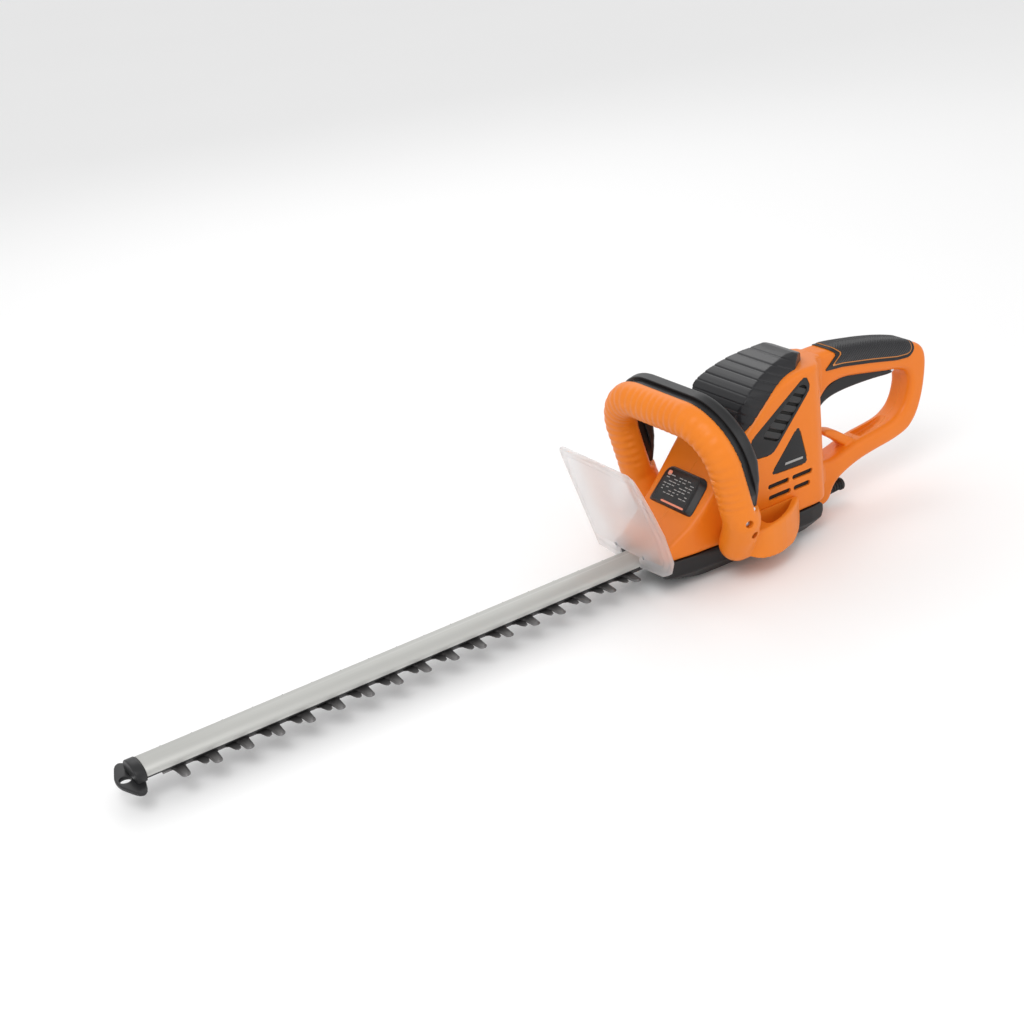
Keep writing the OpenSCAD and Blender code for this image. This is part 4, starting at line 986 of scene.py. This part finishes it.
long_tooth = [(-7.5, 8.6), (-5.4, 14.6)] + arc(26.8, 4.2, 172, 8, 10) + [(5.2, 15.6), (7.5, 8.6)]
short_tooth = [(-8.5, 8.6), (-5, 13.1)] + arc(20, 3, 165, 15, 8) + [(5, 13.1), (8.5, 8.6)]
comb_plans = (
    ("upper_comb", long_tooth, 23.4, 25.2, 1.5, [FIRST_TOOTH_X + TOOTH_PITCH*i for i in range(17)]),
    ("lower_comb", short_tooth, 21.3, 23.1, -1.6, [FIRST_TOOTH_X + TOOTH_PITCH*i - 8.5 for i in range(1, 17)]),
)
for node, outline, low, high, bevel, spots in comb_plans:
    tooth = ground_tooth("tooth", outline, low, high, bevel)
    seeds = [((x, 0, 0), (0, 0, turn)) for x in spots for turn in (0, 180)]
    teeth = grown("teeth", seeds, tooth_tree, 15, tooth=tooth)
    bpy.data.objects.remove(tooth)
    slots = []
    for x in BOLT_XS:
        ends = [(x + 5 + 4.3*math.cos(a), 4.3*math.sin(a)) for a in [math.radians(15*i) for i in range(-6, 7)]]
        slots.append(ends + [(2*x - u, -v) for u, v in ends])
    back_outline = [(-637, -BACK_HALF), (-16.3, -BACK_HALF), (-16.3, -20), (16.3, -20), (16.3, 20), (-16.3, 20),
                    (-16.3, BACK_HALF), (-637, BACK_HALF)]
    yoke_hole = [(-11.3, -15.5), (11.3, -15.5), (11.3, 15.5), (-11.3, 15.5)]
    comb = slab("comb", [back_outline, yoke_hole] + slots, low, high, 0.15, plane="xy", steps=1)
    comb.name = node + "_ground"
    comb = cut_away(comb, [teeth], 15, "UNION")
    place(comb, comb_steel, "comb_steel", node, body=node)

# ---- Rear handle grip ----
# A soft dark pad moulded over the top of the rear handle, with a black border, a thin orange line and an inner
# field of fine chevrons. Its front edge is notched.
grip_outline = [(118, 190), (149, 189), (194, 181), (225, 175), (243, 170), (248, 157), (247, 144),
                (240, 138.5), (222, 140), (186, 148), (145, 156), (121, 158), (138, 171.5)]
rubber = finish("soft_grip", (0.009, 0.009, 0.010), (0.014, 0.014, 0.015), (0.05, 0.05, 0.05), 0.62, 1100, 0.05)
contour = finish("contour_orange", (0.55, 0.20, 0.04), (0.48, 0.16, 0.03), (0.7, 0.3, 0.1), 0.5, 900, 0.01)
field = finish("chevron_field", (0.018, 0.018, 0.020), (0.026, 0.026, 0.029), (0.08, 0.08, 0.08), 0.5, 1100,
               0.03)
tree = field.node_tree
split = tree.nodes.new("ShaderNodeSeparateXYZ")
tree.links.new(tree.nodes["Texture Coordinate"].outputs["Object"], split.inputs[0])
away = add(tree, "ShaderNodeMath", {0: split.outputs["Y"]}, operation="ABSOLUTE")
side_run = add(tree, "ShaderNodeMath", {0: split.outputs["Z"], 1: -1.2, 2: away}, operation="MULTIPLY_ADD")
run = add(tree, "ShaderNodeMath", {0: split.outputs["X"], 1: side_run}, operation="ADD")
wave = add(tree, "ShaderNodeMath", {0: run, 1: 1500.0}, operation="MULTIPLY")
crest = add(tree, "ShaderNodeMath", {0: wave}, operation="SINE")
chevron = tree.nodes.new("ShaderNodeBump")
chevron.inputs["Distance"].default_value = 0.5*MM
chevron.inputs["Strength"].default_value = 0.9
tree.links.new(crest, chevron.inputs["Height"])
tree.links.new(tree.nodes["relief"].outputs["Normal"], chevron.inputs["Normal"])
tree.links.new(chevron.outputs["Normal"], tree.nodes["Principled BSDF"].inputs["Normal"])


def inset_outline(points, by):
    """A clockwise outline with every side moved in by a length in mm and its corners kept sharp."""
    moved = []
    for i, (u, v) in enumerate(points):
        (u0, v0), (u1, v1) = points[i - 1], points[(i + 1) % len(points)]
        first = Vector((v - v0, u0 - u)).normalized()
        second = Vector((v1 - v, u - u1)).normalized()
        shift = (first + second)*by/(1 + first.dot(second))
        moved.append((u + shift.x, v + shift.y))
    return moved


layers = (("grip_border", 0.9, 0.0, rubber, "grip_rubber", ["rear_grip"]),
          ("grip_contour", 1.15, 3.6, contour, "orange_shell", []),
          ("grip_field", 1.5, 4.8, field, "grip_rubber", []))
for name, proud, margin, mat, finish_slot, nodes in layers:
    around = slab("around", [handle_side], -GRIP_HALF - proud, GRIP_HALF + proud, 6.5 + proud, inset=-proud,
                  steps=6)
    patch = slab("patch", [softened(inset_outline(grip_outline, margin), 1, 2)], -30, 30, 0.2)
    pad = common(name, around, patch)
    place(pad, mat, finish_slot, *nodes)

# ---- Rear trigger ----
# The long black lever under the rear handle, hinged at its back end, that the rear hand squeezes.
trigger = slab("trigger_lever", [softened([
    (112, 112), (115, 121), (122, 132), (134, 138), (152, 143), (160, 151), (172, 151), (178, 142), (202, 137),
    (220, 134), (225, 131), (226, 125), (220, 123), (199, 125), (176, 126), (153, 126), (134, 124), (122, 119),
    (117, 112)], 2, 6)], -9, 9, 2.6)
place(trigger, satin_black, "black_shell", "rear_trigger", body="rear_trigger")

# ---- Cord gland ----
# The black rubber sleeve at the tail that the mains lead would leave by. It is ribbed so that it bends evenly.


def turned_x(name, knots, y, z, count=40):
    """A ring-shaped solid turned round an axis along X, from a closed profile of (x, radius) in mm."""
    points = []
    for i in range(count):
        a = math.tau*i/count
        points += [(x*MM, (y + r*math.cos(a))*MM, (z + r*math.sin(a))*MM) for x, r in knots]
    many = len(knots)
    faces = []
    for i in range(count):
        for j in range(many):
            k = (j + 1) % many
            n = (i + 1) % count
            faces.append((i*many + j, i*many + k, n*many + k, n*many + j))
    return built(name, points, faces, sharp=40)


profile = [(112, 3.7), (112, 6.8), (130, 6.8)]
for i in range(4):
    x = 131 + 4*i
    profile += [(x, 6.8 - 0.25*i), (x + 0.4, 6.0 - 0.25*i), (x + 1.6, 6.0 - 0.25*i), (x + 2.0, 6.7 - 0.25*i)]
profile += [(147.5, 6.0), (148.2, 6.8), (151.2, 6.8), (152, 6.2), (152, 3.7)]
gland = turned_x("gland_sleeve", profile, 0, 17)
place(gland, rubber, "gland_rubber", "cord_gland")

# ---- Inside ----
# The gears, the motor, the bolts and the switches, which show only through gaps and from below. They keep their
# exact shapes and get the finishes of their metals and plastics.
metals = {
    "steel_pin": (0.62, 0.62, 0.64), "spring_steel": (0.55, 0.55, 0.57), "dark_bolt": (0.16, 0.16, 0.17),
    "cast_alloy": (0.55, 0.56, 0.57), "plate_steel": (0.50, 0.50, 0.52), "bronze": (0.62, 0.42, 0.18),
    "gear_steel": (0.45, 0.45, 0.46), "winding_copper": (0.50, 0.22, 0.08), "stator_steel": (0.35, 0.35, 0.37),
    "bearing_steel": (0.70, 0.70, 0.72), "zinc_screw": (0.62, 0.62, 0.64),
}
plastics = {
    "switch_case": (0.05, 0.05, 0.055), "capacitor_case": (0.60, 0.45, 0.08), "fan_nylon": (0.75, 0.75, 0.72),
    "carbon": (0.06, 0.06, 0.06), "black_shell": (0.03, 0.03, 0.033), "gland_rubber": (0.02, 0.02, 0.022),
}
inner_finishes = {}
for colours, metallic, rough in ((metals, 1.0, 0.35), (plastics, 0.0, 0.5)):
    for finish_slot, colour in colours.items():
        darker = tuple(c*0.8 for c in colour)
        lighter = tuple(min(1.0, c*1.3) for c in colour)
        inner_finishes[finish_slot] = finish("inner_" + finish_slot, colour, darker, lighter, rough, 1500,
                                             0.01, metallic)
slots_of = {part["node"]: part["material_slot"] for part in frame["record"]["subparts"]}
for node, cad in frame["nodes"].items():
    if slots_of[node] in inner_finishes:
        for holder in cad.material_slots:
            holder.material = inner_finishes[slots_of[node]]
